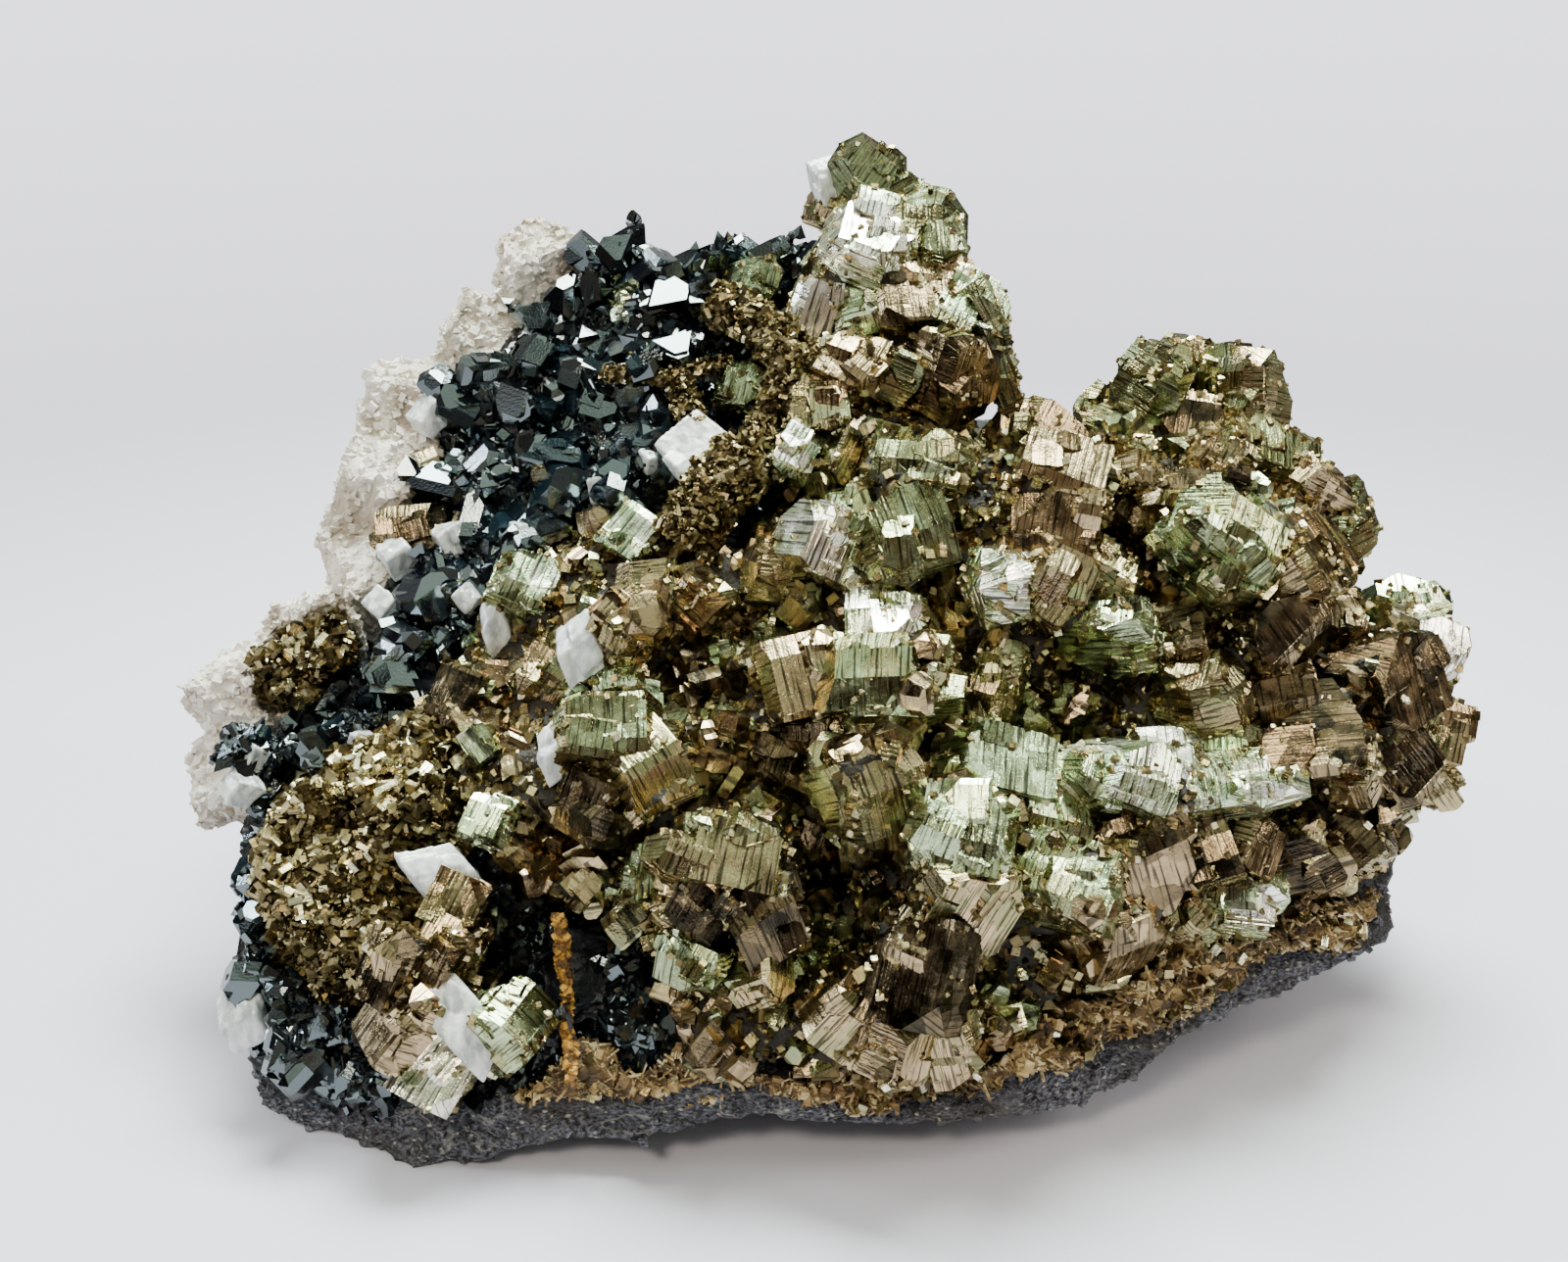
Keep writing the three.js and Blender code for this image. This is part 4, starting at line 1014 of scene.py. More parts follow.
def growth_tree():
    """Crystals over a surface where it is marked open, more or less upright on it"""
    tree = bpy.data.node_groups.new("crystals over a surface", "GeometryNodeTree")
    socket_of(tree, "Surface", "NodeSocketGeometry")
    socket_of(tree, "Crystals", "NodeSocketCollection")
    socket_of(tree, "Finish", "NodeSocketMaterial")
    for name, value in (
        ("Number", 1e6), ("Smallest", 0.0005), ("Largest", 0.002), ("Unlike", 2.0),
        ("Lean", 3.0), ("Lift", 0.0), ("Lowest tone", 0.1), ("Highest tone", 0.6),
        ("Tone facing up", 0.2),
    ):
        socket_of(tree, name, "NodeSocketFloat", value=value)
    socket_of(tree, "Seed", "NodeSocketInt", value=0)
    socket_of(tree, "Crystals grown", "NodeSocketGeometry", "OUTPUT")
    make = Tree(tree)
    given = make.node("NodeGroupInput").outputs
    mark = make.first("GeometryNodeInputNamedAttribute", {"data_type": "FLOAT"}, Name="open")
    spread = make.node(
        "GeometryNodeDistributePointsOnFaces", {"distribute_method": "RANDOM"},
        Mesh=given["Surface"], Seed=given["Seed"])
    make.feed(enabled_input(spread, "Density"), make.maths("MULTIPLY", given["Number"], mark))
    normal = spread.outputs["Normal"]
    up = make.maths("MAXIMUM", make.node("ShaderNodeSeparateXYZ", Vector=normal).outputs["Z"], 0.0)
    share = make.node("FunctionNodeRandomValue", {"data_type": "FLOAT"}, Seed=given["Seed"])
    room = make.maths("SUBTRACT", given["Highest tone"], given["Lowest tone"])
    tone = make.maths("MULTIPLY_ADD", share.outputs[1], room, given["Lowest tone"])
    # Painted light: a crystal on a face that turns up gets a brighter tone, a painted sheen of the
    # light above
    tone = make.maths("MULTIPLY_ADD", up, given["Tone facing up"], tone)
    toned = make.node(
        "GeometryNodeStoreNamedAttribute", {"data_type": "FLOAT", "domain": "POINT"},
        Geometry=spread.outputs["Points"], Name="tone")
    make.feed(enabled_input(toned, "Value"), tone)
    lifted = make.vector("SCALE", normal, scale=given["Lift"])
    raised = make.first("GeometryNodeSetPosition", Geometry=toned.outputs[0], Offset=lifted)
    lean = make.first("ShaderNodeCombineXYZ", X=given["Lean"], Y=given["Lean"], Z=math.pi)
    turn = make.node("FunctionNodeRandomValue", {"data_type": "FLOAT_VECTOR"})
    make.feed(turn.inputs[0], make.vector("SCALE", lean, scale=-1))
    make.feed(turn.inputs[1], lean)
    facing = make.node(
        "FunctionNodeRotateRotation", {"rotation_space": "LOCAL"},
        Rotation=spread.outputs["Rotation"])
    make.feed(facing.inputs[1], turn.outputs[0])
    size = make.node("FunctionNodeRandomValue", {"data_type": "FLOAT"})
    size = make.maths("POWER", size.outputs[1], given["Unlike"])
    room = make.maths("SUBTRACT", given["Largest"], given["Smallest"])
    size = make.maths("MULTIPLY_ADD", size, room, given["Smallest"])
    kinds = make.first(
        "GeometryNodeCollectionInfo", Collection=given["Crystals"], Separate_Children=True,
        Reset_Children=True)
    grown_here = make.first(
        "GeometryNodeInstanceOnPoints", Points=raised, Instance=kinds, Pick_Instance=True,
        Rotation=facing.outputs[0], Scale=size)
    whole = make.first("GeometryNodeRealizeInstances", Geometry=grown_here)
    finished = make.first("GeometryNodeSetMaterial", Geometry=whole, Material=given["Finish"])
    make.feed(make.node("NodeGroupOutput").inputs[0], finished)
    return tree


GROWTH = growth_tree()


def grow_over(mesh, name, crystals, finish, sizes, tones, **values):
    """Crystals over a surface as one plain mesh, with the least and the largest of their sizes in
    millimetres and of their tones"""
    ground = held(mesh.copy(), name)
    modifier = ground.modifiers.new("growth", "NODES")
    modifier.node_group = GROWTH
    given = {
        "Crystals": crystals, "Finish": finish, "Smallest": sizes[0] * MM,
        "Largest": sizes[1] * MM, "Lowest tone": tones[0], "Highest tone": tones[1],
    }
    for key, value in values.items():
        given[key.replace("_", " ").capitalize()] = value
    for socket in GROWTH.interface.items_tree:
        if socket.in_out == "INPUT" and socket.name in given:
            modifier[socket.identifier] = given[socket.name]
    return finished_mesh(ground, name)


# Finishes


def surface_group(name, outputs, **numbers):
    """A shader group that reads a place on the surface and some numbers"""
    tree = bpy.data.node_groups.new(name, "ShaderNodeTree")
    socket_of(tree, "Place", "NodeSocketVector")
    for label, value in numbers.items():
        socket_of(tree, label, "NodeSocketFloat", value=value)
    for label in outputs:
        socket_of(tree, label, "NodeSocketFloat", "OUTPUT")
    make = Tree(tree)
    return make, make.node("NodeGroupInput").outputs, make.node("NodeGroupOutput").inputs


def growth_lines_group():
    """Fine parallel lines along a crystal face, from a place on the face in millimetres"""
    make, given, out = surface_group("growth lines", ("Height", "Line"), Lines=5.0, Break=0.25)
    drawn = make.first("ShaderNodeCombineXYZ", X=given["Break"], Y=given["Lines"], Z=1.0)
    lines = make.noise(make.vector("MULTIPLY", given["Place"], drawn), 1.0, 4.0)
    make.feed(out["Height"], lines)
    make.feed(out["Line"], make.spread(lines, low=0.50, high=0.38, smooth=True))
    return make.tree


def grain_group():
    """Uneven grain at two sizes over a surface"""
    make, given, out = surface_group(
        "surface grain", ("Height", "Patch"), Coarse=600.0, Fine=5000.0)
    coarse = make.noise(given["Place"], given["Coarse"], 3.0)
    fine = make.noise(given["Place"], given["Fine"], 3.0)
    make.feed(out["Height"], make.maths("MULTIPLY_ADD", coarse, 0.5, fine))
    make.feed(out["Patch"], make.spread(coarse, low=0.35, high=0.65))
    return make.tree


def mosaic_group():
    """A crystal face broken up into small facets that each lean their own way"""
    make, given, out = surface_group("facet mosaic", ("Height", "Tint"), Facets=500.0)
    bend = make.node("ShaderNodeTexNoise", Vector=given["Place"], Scale=900.0, Detail=1.0)
    bent = make.vector(
        "MULTIPLY_ADD", bend.outputs["Color"], (0.0006, 0.0006, 0.0006), given["Place"])
    cells = make.node(
        "ShaderNodeTexVoronoi", Vector=bent, Scale=given["Facets"], Randomness=0.9).outputs
    apart = make.vector("SUBTRACT", bent, cells["Position"])
    lean = make.vector("SUBTRACT", cells["Color"], (0.5, 0.5, 0.5))
    slope = make.vector("DOT_PRODUCT", apart, lean)
    make.feed(out["Height"], make.maths("MULTIPLY", slope, given["Facets"]))
    make.feed(out["Tint"], make.first("ShaderNodeSeparateColor", Color=cells["Color"]))
    return make.tree


LINES_GROUP = growth_lines_group()
MOSAIC_GROUP = mosaic_group()
GRAIN_GROUP = grain_group()


class Finish(Tree):
    """A material in the making"""

    def __init__(self, name, **constants):
        self.material = bpy.data.materials.new(name)
        self.material.use_nodes = True
        super().__init__(self.material.node_tree)
        self.tree.nodes.clear()
        self.shader = self.node("ShaderNodeBsdfPrincipled", **constants)
        self.node("ShaderNodeOutputMaterial", Surface=self.shader.outputs[0])

    def group(self, tree, **inputs):
        return self.node("ShaderNodeGroup", {"node_tree": tree}, **inputs).outputs

    def place(self):
        return self.node("ShaderNodeTexCoord").outputs["Object"]

    def drawn_place(self, scale, turn=0.0):
        """Places drawn out along the sides and up, so that a pattern on them is squeezed"""
        return self.first(
            "ShaderNodeMapping", Vector=self.place(), Scale=scale, Rotation=(0.0, turn, 0.0))

    def on_face(self):
        return self.first("ShaderNodeUVMap", {"uv_map": "face lines"})

    def mark(self, name):
        """A number that the mesh carries at each point or face"""
        return self.node("ShaderNodeAttribute", {"attribute_name": name}).outputs["Fac"]

    def colours(self, value, stops):
        ramp = self.node("ShaderNodeValToRGB", Fac=value)
        while len(ramp.color_ramp.elements) < len(stops):
            ramp.color_ramp.elements.new(1)
        for element, (position, colour) in zip(ramp.color_ramp.elements, stops):
            element.position = position
            element.color = (*colour, 1)
        return ramp.outputs[0]

    def tinted(self, share, most, colour, tint):
        """A colour with at most so much of a tint"""
        return self.mix(self.maths("MULTIPLY", share, most), colour, tint)

    def bump(self, height, millimetres):
        bump = self.first("ShaderNodeBump", Height=height, Distance=millimetres * MM, Strength=1.0)
        self.feed(self.shader.inputs["Normal"], bump)

    def done(self, colour, roughness):
        self.feed(self.shader.inputs["Base Color"], colour)
        self.feed(self.shader.inputs["Roughness"], roughness)
        return self.material


METAL_EDGE = (0.90, 0.86, 0.72, 1)
COLD_GLINT = (0.78, 0.92, 0.96, 1)


def pyrite_finish(name, stops, groove_shade, roughness):
    """Brassy metal with growth lines darkened as painted shade in their grooves, small facets and
    darker patches
    """
    make = Finish(name, Metallic=1.0, Specular_Tint=METAL_EDGE)
    lines = make.group(LINES_GROUP, Place=make.on_face(), Lines=3.4, Break=0.2)
    grain = make.group(GRAIN_GROUP, Place=make.place())
    facets = make.group(MOSAIC_GROUP, Place=make.place(), Facets=560.0)
    shift = make.maths("MULTIPLY_ADD", grain["Patch"], 0.10, -0.13)
    shift = make.maths("MULTIPLY_ADD", facets["Tint"], 0.16, shift)
    colour = make.colours(make.maths("ADD", make.mark("tone"), shift), stops)
    # Painted shade: the growth lines are darkened as if their grooves lay in shade
    colour = make.tinted(lines["Line"], groove_shade, colour, (0.014, 0.012, 0.009))
    height = make.maths("MULTIPLY_ADD", grain["Height"], 0.45, lines["Height"])
    height = make.maths("MULTIPLY_ADD", facets["Height"], 4.5, height)
    make.bump(height, 0.055)
    return make.done(colour, make.spread(grain["Patch"], to=roughness))


def sphalerite_finish():
    """Black and glossy, with a cold glint at a low angle"""
    make = Finish("black sphalerite", IOR=2.1, Metallic=0.0, Specular_Tint=COLD_GLINT)
    lines = make.group(LINES_GROUP, Place=make.on_face(), Lines=3.0)
    grain = make.group(GRAIN_GROUP, Place=make.place())
    # The bluish end, for the highest tones, is a painted cold reflection
    colour = make.colours(make.mark("tone"), [
        (0.0, (0.0010, 0.0010, 0.0014)), (0.8, (0.0016, 0.002, 0.004)), (1.0, (0.004, 0.010, 0.015)),
    ])
    make.bump(make.maths("MULTIPLY_ADD", lines["Height"], 0.5, grain["Height"]), 0.010)
    return make.done(colour, make.spread(grain["Patch"], to=(0.03, 0.14)))


def calcite_finish():
    """Clouded white, clearer in streaks along the crystal"""
    make = Finish("clouded calcite", IOR=1.6, Metallic=0.0)
    streaks = make.noise(make.drawn_place((1.0, 1.0, 0.35)), 1400.0, 3.0)
    grain = make.group(GRAIN_GROUP, Place=make.place(), Coarse=700.0)
    clear = make.spread(streaks, low=0.4, high=0.62)
    colour = make.mix(clear, (0.88, 0.90, 0.90), (0.76, 0.81, 0.84))
    make.feed(make.shader.inputs["Transmission Weight"], make.spread(clear, to=(0.2, 0.55)))
    make.bump(make.maths("MULTIPLY_ADD", grain["Height"], 0.4, streaks), 0.01)
    return make.done(colour, make.spread(grain["Patch"], to=(0.08, 0.28)))


def dull_finish(name, stops, roughness, relief, coarse, fine, toned=0.5, streaks=1.0):
    """Rock and crusts: colours that run through the grain, drawn out in streaks that rise gently
    to the right"""
    make = Finish(name, Metallic=0.0)
    along = make.drawn_place((1.0, 1.0, streaks), math.radians(24))
    grain = make.group(GRAIN_GROUP, Place=along, Coarse=coarse, Fine=fine)
    blend = make.maths("MULTIPLY_ADD", make.mark("tone"), toned, grain["Patch"])
    colour = make.colours(make.maths("MULTIPLY", blend, 1 / (1 + toned)), stops)
    make.bump(grain["Height"], relief)
    return make.done(colour, make.spread(grain["Height"], to=(roughness - 0.1, roughness + 0.1)))


def matrix_finish():
    """Dark bluish rock in fine uneven layers, with black pits, grey grains, brown stains and a few
    pale grains and thin veins. Where it lies bare among the crystals it is painted near black: painted
    shade"""
    make = Finish("granular rock", Metallic=0.0)
    grain = make.group(GRAIN_GROUP, Place=make.place(), Coarse=420.0, Fine=3600.0)
    flat = make.drawn_place((1.0, 1.0, 2.2))
    layers = make.noise(flat, 2600.0, 3.0)
    broad = make.noise(flat, 70.0, 4.0)
    cells = make.node("ShaderNodeTexVoronoi", Vector=flat, Scale=1700.0).outputs
    speck = make.spread(cells["Distance"], low=0.42, high=0.22)
    tint = make.first("ShaderNodeSeparateColor", Color=cells["Color"])
    rare = make.spread(tint, low=0.8, high=0.95)
    stain = make.spread(broad, low=0.46, high=0.66)
    off_vein = make.maths("ABSOLUTE", make.maths("SUBTRACT", broad, 0.44))
    vein = make.spread(off_vein, low=0.006, high=0.0)
    grey = make.spread(layers, low=0.40, high=0.66)
    colour = make.mix(grey, (0.008, 0.008, 0.011), (0.20, 0.205, 0.26))
    colour = make.tinted(grain["Patch"], 0.5, colour, (0.03, 0.03, 0.04))
    colour = make.tinted(stain, 0.55, colour, (0.075, 0.058, 0.040))
    colour = make.tinted(vein, 0.5, colour, (0.42, 0.40, 0.36))
    colour = make.tinted(speck, rare, colour, (0.46, 0.43, 0.37))
    # Painted shade: near black on the bare rock among the crystals
    colour = make.tinted(make.mark("covered"), 0.93, colour, (0.006, 0.005, 0.004))
    height = make.maths("MULTIPLY_ADD", layers, 1.5, grain["Height"])
    height = make.maths("MULTIPLY_ADD", cells["Distance"], -0.6, height)
    make.bump(height, 0.35)
    return make.done(colour, make.spread(grain["Height"], to=(0.45, 0.75)))


DRUSE_TONES = [
    (0.0, (0.022, 0.016, 0.008)), (0.35, (0.125, 0.094, 0.042)), (0.75, (0.37, 0.30, 0.150)),
    (1.0, (0.80, 0.78, 0.58)),
]
# The ground under the pyrite crystals is painted near black: painted shade in the gaps between them
PAINTED_SHADE_TONES = [(0.0, (0.004, 0.0035, 0.003)), (1.0, (0.035, 0.026, 0.014))]
SPHALERITE_GROUND_TONES = [(0.0, (0.004, 0.004, 0.006)), (1.0, (0.02, 0.022, 0.03))]
PALE_TONES = [(0.0, (0.36, 0.30, 0.23)), (0.4, (0.66, 0.60, 0.53)), (1.0, (0.88, 0.84, 0.80))]
RUST_TONES = [
    (0.0, (0.016, 0.010, 0.005)), (0.3, (0.10, 0.055, 0.020)), (0.55, (0.32, 0.205, 0.075)),
    (0.75, (0.56, 0.42, 0.20)), (1.0, (0.90, 0.82, 0.58)),
]
ORANGE_TONES = [
    (0.0, (0.010, 0.005, 0.002)), (0.4, (0.16, 0.07, 0.010)), (0.7, (0.58, 0.29, 0.035)),
    (1.0, (0.72, 0.48, 0.13)),
]

PYRITE = pyrite_finish("striated pyrite", PYRITE_TONES, 0.85, (0.12, 0.30))
DRUSE = pyrite_finish("golden druse", DRUSE_TONES, 0.2, (0.15, 0.4))
PAINTED_SHADE_UNDER_PYRITE = dull_finish(
    "dark ground under pyrite", PAINTED_SHADE_TONES, 0.6, 0.2, coarse=900.0, fine=4000.0)
SPHALERITE = sphalerite_finish()
SPHALERITE_GROUND = dull_finish(
    "dark ground under sphalerite", SPHALERITE_GROUND_TONES, 0.35, 0.2, coarse=900.0, fine=4000.0)
CALCITE = calcite_finish()
PALE_CRUST = dull_finish("pale crust", PALE_TONES, 0.6, 0.2, coarse=260.0, fine=3000.0)
RUST = dull_finish(
    "rusty crust", RUST_TONES, 0.5, 0.3, coarse=300.0, fine=2400.0, toned=1.2, streaks=3.5)
ORANGE_RUST = dull_finish(
    "orange rust", ORANGE_TONES, 0.6, 0.25, coarse=1100.0, fine=5000.0, toned=0.9)
MATRIX = matrix_finish()


# The specimen's pieces


def finish_piece(mesh, name, node, finish, smooth=False):
    """Makes a mesh a piece of the specimen that stands for a node"""
    mesh.materials.clear()
    mesh.materials.append(finish)
    mesh.name = name
    if smooth:
        mesh.shade_smooth()
    else:
        mesh.shade_flat()
    piece = held(mesh, name)
    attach(piece, "root")
    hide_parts(node)


def cover(surface, name, node, crystals, finish, **values):
    """A piece of small crystals over a surface"""
    finish_piece(grow_over(surface, name, crystals, finish, **values), name, node, finish)


def near_rod(mesh):
    """Which points of a surface lie so near to the rusty rod that larger crystals would hide it"""
    across, down = pixels_of(points_of(mesh)).T
    return (across > 535) & (across < 618) & (down > 920) & (down < 1115)


PYRITE_UNITS = unit_crystals(
    "pyrite unit", [
        ("stepped", (1, 1, 1)), ("cube", (1.2, 1, 0.8)), ("pyritohedron", (1, 1, 1)),
        ("cube", (0.7, 0.9, 1.3)), ("stepped", (1.3, 0.9, 0.6)),
    ], 2)
PYRITE_SPECKS = unit_crystals(
    "pyrite speck", [("cube", (1, 1, 1)), ("cube", (1.3, 0.8, 0.8)), ("stepped", (1, 1, 1))], 0)
SPHALERITE_UNITS = unit_crystals(
    "sphalerite unit",
    [("tetrahedral", (1, 1, 1)), ("cube", (0.8, 1, 1.2)), ("tetrahedral", (1.3, 1, 0.8))], 1)
SPHALERITE_SPECKS = unit_crystals(
    "sphalerite speck", [("tetrahedral", (1, 1, 1)), ("cube", (1, 0.8, 1.2))], 0)
CALCITE_UNITS = unit_crystals("calcite unit", [("rhomb", (1, 1, 1)), ("rhomb", (1, 0.6, 1.2))], 0)
PLATES = unit_crystals(
    "plate", [("cube", (1.7, 0.9, 0.4)), ("stepped", (1.3, 1, 0.5)), ("cube", (1, 0.8, 0.7))], 0)
FIBRES = unit_crystals("fibre", [("cube", (2.6, 0.3, 0.3)), ("cube", (3.4, 0.25, 0.3))], 0)

# The slab, with chips on its front rim and sphalerite on the left part of its face
rock = rough_copy("matrix", voxel=0.8, sink=0.02, rough=0.9, grain=0.5)
break_up(rock, deepest=2.4, size=11)
rock_points, rock_ways = points_of(rock), normals_of(rock)
rock_pixels = pixels_of(rock_points)
heights = rock_points[:, 2]
rim = (heights > 0.6) & (heights < 14) & (rock_points[:, 1] < 4)
mark_open(rock, rim & (rock_ways[:, 2] > -0.5))
cover(
    rock, "matrix_chips", "matrix", PYRITE_SPECKS, MATRIX, seed=22, number=1.6e6,
    sizes=(0.2, 0.9), tones=(0, 1), tone_facing_up=0.0, lift=-0.1 * MM)
left_part = inside(rock_pixels, ROCK_SPHALERITE) & facing_eye(rock, 0.3) & (heights > 2.5)
for label, crystals, where, number, sizes in (
    ("crystals", SPHALERITE_UNITS, left_part & ~near_rod(rock), 3e5, (1, 3)),
    ("grains", SPHALERITE_SPECKS, left_part & ~near_rod(rock), 2e6, (0.4, 1.4)),
    ("fine_grains", SPHALERITE_SPECKS, left_part & near_rod(rock), 7e6, (0.3, 0.9)),
):
    mark_open(rock, where)
    cover(
        rock, f"sphalerite_inner_{label}", "sphalerite_upper_left", crystals, SPHALERITE, seed=21,
        number=number, sizes=sizes, tones=(0, 0.9))
# Painted shade: the bare rock that is seen above the rusty crust's lower edge and turned to the eye
# lies among the crystals, and is marked to be painted near black
covered = (rock_pixels[:, 1] < line_at(rock_pixels[:, 0], RUST_EDGE)) & facing_eye(rock, 0.2)
rock.attributes.new("covered", "FLOAT", "POINT").data.foreach_set("value", covered.astype(float))
finish_piece(rock, "matrix_rock", "matrix", MATRIX)

# The fields of large pyrite crystals, with golden grains on the faces that are turned from the eye
PYRITE_FIELDS = {
    "pyrite_peak": {"": PEAK},
    "pyrite_mass": {
        "_middle": MIDDLE_PART, "_upper_right": UPPER_RIGHT, "_lower_right": LOWER_RIGHT,
    },
    "pyrite_lower_left": {"": LOWER_LEFT},
}
for node, groups in PYRITE_FIELDS.items():
    clefts = CLEFTS if node == "pyrite_mass" else ()
    ground = rough_copy(node, voxel=0.85, sink=0.5, rough=0.9, grain=0.5, clefts=clefts)
    mark_open(ground, clear_of(ground, [one for group in groups.values() for one in group], 0.2))
    for suffix, crystals in groups.items():
        mesh = crystals_mesh(f"{node}{suffix}_crystals", crystals)
        mark_open(mesh, patches(mesh, 2.6, 0.42) & (normals_of(mesh) @ -FORWARD < 0.55))
        cover(
            mesh, f"{node}{suffix}_dusting", node, PYRITE_SPECKS, DRUSE, seed=30, number=9e5,
            sizes=(0.2, 0.8), tones=(0.2, 0.9), tone_facing_up=0.1)
        finish_piece(mesh, f"{node}{suffix}_crystals", node, PYRITE)
    cover(
        ground, f"{node}_small_crystals", node, PYRITE_UNITS, PYRITE, seed=3, number=2.4e5,
        sizes=(1.1, 4), unlike=1.7, lean=1.2, tones=(0.05, 0.62))
    cover(
        ground, f"{node}_grains", node, PYRITE_SPECKS, DRUSE, seed=5, number=1.8e6,
        sizes=(0.3, 1.3), tones=(0, 0.8), tone_facing_up=0.15)
    # Painted shade: the ground between the large crystals is near black
    finish_piece(ground, f"{node}_ground", node, PAINTED_SHADE_UNDER_PYRITE)

# The dome, the knob and the rods, under small plates
dome = rough_copy("pyrite_left_dome", voxel=0.7, sink=0.35, rough=0.7, grain=0.6)
mark_open(dome, clear_of(dome, DOME_CRYSTALS, 0.1))
dome_crystals = crystals_mesh("dome_crystals", DOME_CRYSTALS)
finish_piece(dome_crystals, "pyrite_left_dome_crystals", "pyrite_left_dome", PYRITE)
knob = rough_copy("pyrite_left_knob", voxel=0.6, sink=0.3, rough=0.6, grain=0.6)
rods = rods_mesh("pyrite_rods_ground", PYRITE_RODS, 0.25)
branch = rods_mesh("pyrite_branch_ground", PYRITE_BRANCH, 0.25)
for core in (knob, rods, branch):
    mark_open(core, [1] * len(core.vertices))
for core, node, number, largest in (
    (dome, "pyrite_left_dome", 7e6, 1.5), (knob, "pyrite_left_knob", 5e6, 1.4),
    (rods, "pyrite_rods", 8e6, 1.1), (branch, "pyrite_branch", 8e6, 0.9),
):
    cover(
        core, f"{node}_grains", node, PLATES, DRUSE, seed=8, number=number, sizes=(0.3, largest),
        unlike=2.6, tones=(0, 0.8), tone_facing_up=0.25)
    finish_piece(core, f"{node}_ground", node, DRUSE)

for node, crystals in (("pyrite_lone_crystal", LONE_CRYSTAL), ("pyrite_top_pair", TOP_PAIR)):
    finish_piece(crystals_mesh(node, crystals), f"{node}_striated", node, PYRITE)

for node, crystals, largest in (
    ("sphalerite_upper_left", SPHALERITE_UPPER, 4.2), ("sphalerite_lower_left", SPHALERITE_LOWER, 2.8),
    ("sphalerite_hollow", [], 2.4),
):
    ground = rough_copy(node, voxel=0.8, sink=0.5, rough=0.8, grain=0.5, clefts=HOLLOW)
    mark_open(ground, clear_of(ground, crystals, 0.2) & ~near_rod(ground))
    if crystals:
        mesh = crystals_mesh(f"{node}_crystals", crystals, steps=3, pitch=0, bevel=0.05)
        finish_piece(mesh, f"{node}_crystals", node, SPHALERITE)
    cover(
        ground, f"{node}_small_crystals", node, SPHALERITE_UNITS, SPHALERITE, seed=4, number=5e5,
        sizes=(1, largest), tones=(0, 0.9), tone_facing_up=0.25)
    cover(
        ground, f"{node}_grains", node, SPHALERITE_SPECKS, SPHALERITE, seed=6, number=1.6e6,
        sizes=(0.4, 1.5), tones=(0, 0.8), tone_facing_up=0.3)
    finish_piece(ground, f"{node}_ground", node, SPHALERITE_GROUND)

for node, one in CALCITES.items():
    mesh = crystals_mesh(node, [one], steps=3, pitch=0, bevel=0.1)
    mesh = softened(mesh, voxel=0.14, rough=0.04)
    finish_piece(mesh, f"{node}_crystal", node, CALCITE, smooth=True)

# Grains of calcite and of yellow pyrite among the sphalerite
grains = crystals_mesh("calcite_small_grains", CALCITE_GRAINS, steps=3, pitch=0, bevel=0.08)
grains = softened(grains, voxel=0.16, rough=0.08)
finish_piece(
    grains, "calcite_small_grains", "sphalerite_upper_left", CALCITE, smooth=True)
finish_piece(
    crystals_mesh("yellow_grains", YELLOW_GRAINS), "pyrite_yellow_grains", "sphalerite_upper_left",
    DRUSE)

pale = rough_copy("calcite_pale_crust", voxel=0.7, sink=0.3, rough=0.9, grain=0.5)
mark_open(pale, [1] * len(pale.vertices))
cover(
    pale, "calcite_pale_crust_rhombs", "calcite_pale_crust", CALCITE_UNITS, PALE_CRUST, seed=9,
    number=2.0e6, sizes=(0.3, 1.2), tones=(0.2, 1), tone_facing_up=0.0)
finish_piece(pale, "calcite_pale_crust_ground", "calcite_pale_crust", PALE_CRUST)

rust = rough_copy("rusty_crust", voxel=0.6, sink=0.3, rough=0.8, grain=0.8)
settle(rust, RUST_LEFT, RUST_RIGHT, RUST_EDGE)
mark_open(rust, np.array([rock_tree.find_nearest(Vector(at))[3] > 0.4 for at in points_of(rust)]))
cover(
    rust, "rusty_crust_fibres", "rusty_crust", FIBRES, RUST, seed=12, number=4e6,
    sizes=(0.2, 0.8), lean=0.4, tones=(0, 1), tone_facing_up=0.1)
for label, finish, number, seed in (("grains", RUST, 8e5, 13), ("pyrite", DRUSE, 6e5, 15)):
    cover(
        rust, f"rusty_crust_{label}", "rusty_crust", PYRITE_SPECKS, finish, seed=seed,
        number=number, sizes=(0.3, 1), tones=(0, 1), tone_facing_up=0.1)
finish_piece(rust, "rusty_crust_ground", "rusty_crust", RUST)

rod = rods_mesh("rusty_rod_core", RUSTY_ROD, 0.35, sides=10, steps=24)
mark_open(rod, [1] * len(rod.vertices))
cover(
    rod, "rusty_rod_scale", "rusty_rod", PYRITE_SPECKS, ORANGE_RUST, seed=14, number=9e6,
    sizes=(0.2, 0.7), tones=(0, 1), tone_facing_up=0.0)
finish_piece(rod, "rusty_rod_bar", "rusty_rod", ORANGE_RUST)

for kept in (
    PYRITE_UNITS, PYRITE_SPECKS, SPHALERITE_UNITS, SPHALERITE_SPECKS, CALCITE_UNITS, PLATES, FIBRES
):
    for one in list(kept.objects):
        bpy.data.objects.remove(one)
    bpy.data.collections.remove(kept)


# The floor and the light

FLOOR_HALF = 3.0
FLOOR_COLOUR = (0.62, 0.60, 0.70, 1)
WARM_DIM = (0.26, 0.21, 0.155)
PALE_GREY = (0.62, 0.64, 0.62)
MINT_WHITE = (1.34, 1.56, 1.26)
SPECIMEN = (0, 0, 0.03)


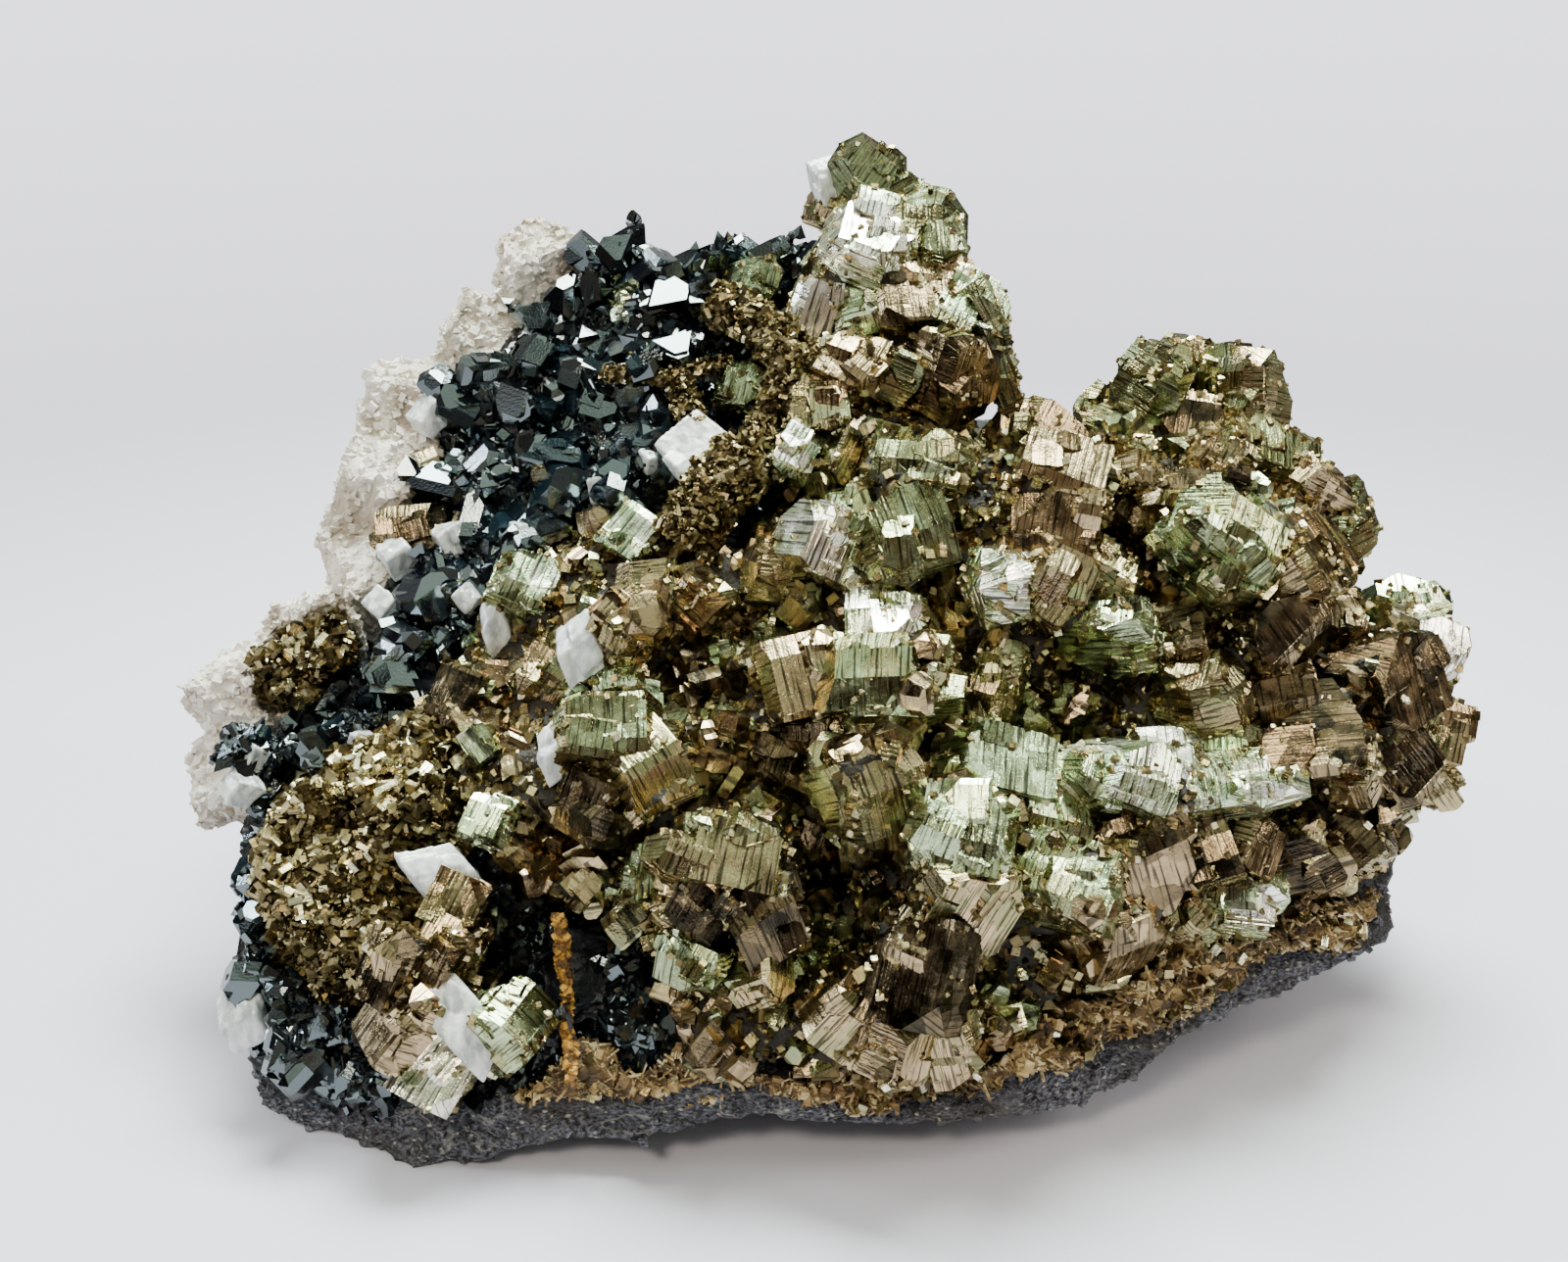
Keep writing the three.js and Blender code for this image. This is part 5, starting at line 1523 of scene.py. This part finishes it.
def set_floor():
    """A pale floor that fades out some way from the specimen"""
    mesh = bpy.data.meshes.new("floor")
    corners = [(x * FLOOR_HALF, y * FLOOR_HALF, 0) for x, y in ((-1, -1), (1, -1), (1, 1), (-1, 1))]
    mesh.from_pydata(corners, [], [(0, 1, 2, 3)])
    make = Finish("pale floor", Metallic=0.0)
    apart = make.vector("LENGTH", make.place())
    fade = make.spread(apart, low=0.09, high=0.34, to=(1.0, 0.0), smooth=True)
    make.feed(make.shader.inputs["Alpha"], fade)
    mesh.materials.append(make.done(FLOOR_COLOUR, 0.6))
    held(mesh, "floor")


def set_light(name, place, size, power, colour):
    light = bpy.data.lights.new(name, "AREA")
    light.shape = "RECTANGLE"
    light.size, light.size_y = size
    light.energy = power
    light.color = colour
    holder = held(light, name)
    holder.location = place
    way = Vector(SPECIMEN) - Vector(place)
    holder.rotation_euler = way.to_track_quat("-Z", "Y").to_euler()


def set_world():
    """A room that is mint white above, warm and dim before the specimen and grey behind it, with
    dark and bright patches for the metal to reflect. The eye sees a plain pale backdrop"""
    world = bpy.data.worlds.new("studio")
    bpy.context.scene.world = world
    world.use_nodes = True
    make = Tree(world.node_tree)
    make.tree.nodes.clear()
    way = make.node("ShaderNodeTexCoord").outputs["Generated"]
    parts = make.node("ShaderNodeSeparateXYZ", Vector=way).outputs
    behind = make.spread(parts["Y"], low=-0.4, high=0.7, smooth=True)
    above = make.spread(parts["Z"], low=0.35, high=0.95, smooth=True)
    whole = make.mix(above, make.mix(behind, WARM_DIM, PALE_GREY), MINT_WHITE)
    clouds = make.noise(way, 3.2, 1.0)
    patch = make.spread(clouds, low=0.44, high=0.60, to=(0.03, 1.6), smooth=True)
    height = make.spread(parts["Z"], low=-0.6, high=0.05, to=(0.8, 2.3))
    blue = make.maths("MULTIPLY", height, 1.09)
    pale = make.first("ShaderNodeCombineColor", Red=height, Green=height, Blue=blue)
    seen = make.node("ShaderNodeLightPath").outputs["Is Camera Ray"]
    both = make.node("ShaderNodeMixShader", Fac=seen)
    make.feed(both.inputs[1], make.first("ShaderNodeBackground", Color=whole, Strength=patch))
    make.feed(both.inputs[2], make.first("ShaderNodeBackground", Color=pale))
    make.node("ShaderNodeOutputWorld", Surface=both.outputs[0])


set_floor()
set_world()
set_light("softbox above", (0.04, 0.10, 0.42), (0.26, 0.16), 6.6, (0.90, 1.0, 0.91))
set_light("warm fill", (-0.14, -0.30, 0.36), (0.10, 0.08), 1.0, (1.0, 0.88, 0.72))
set_light("left strip", (-0.42, 0.02, 0.22), (0.05, 0.22), 1.2, (0.80, 0.92, 1.0))
set_light("right strip", (0.42, -0.05, 0.24), (0.05, 0.22), 1.2, (1.0, 0.94, 0.84))
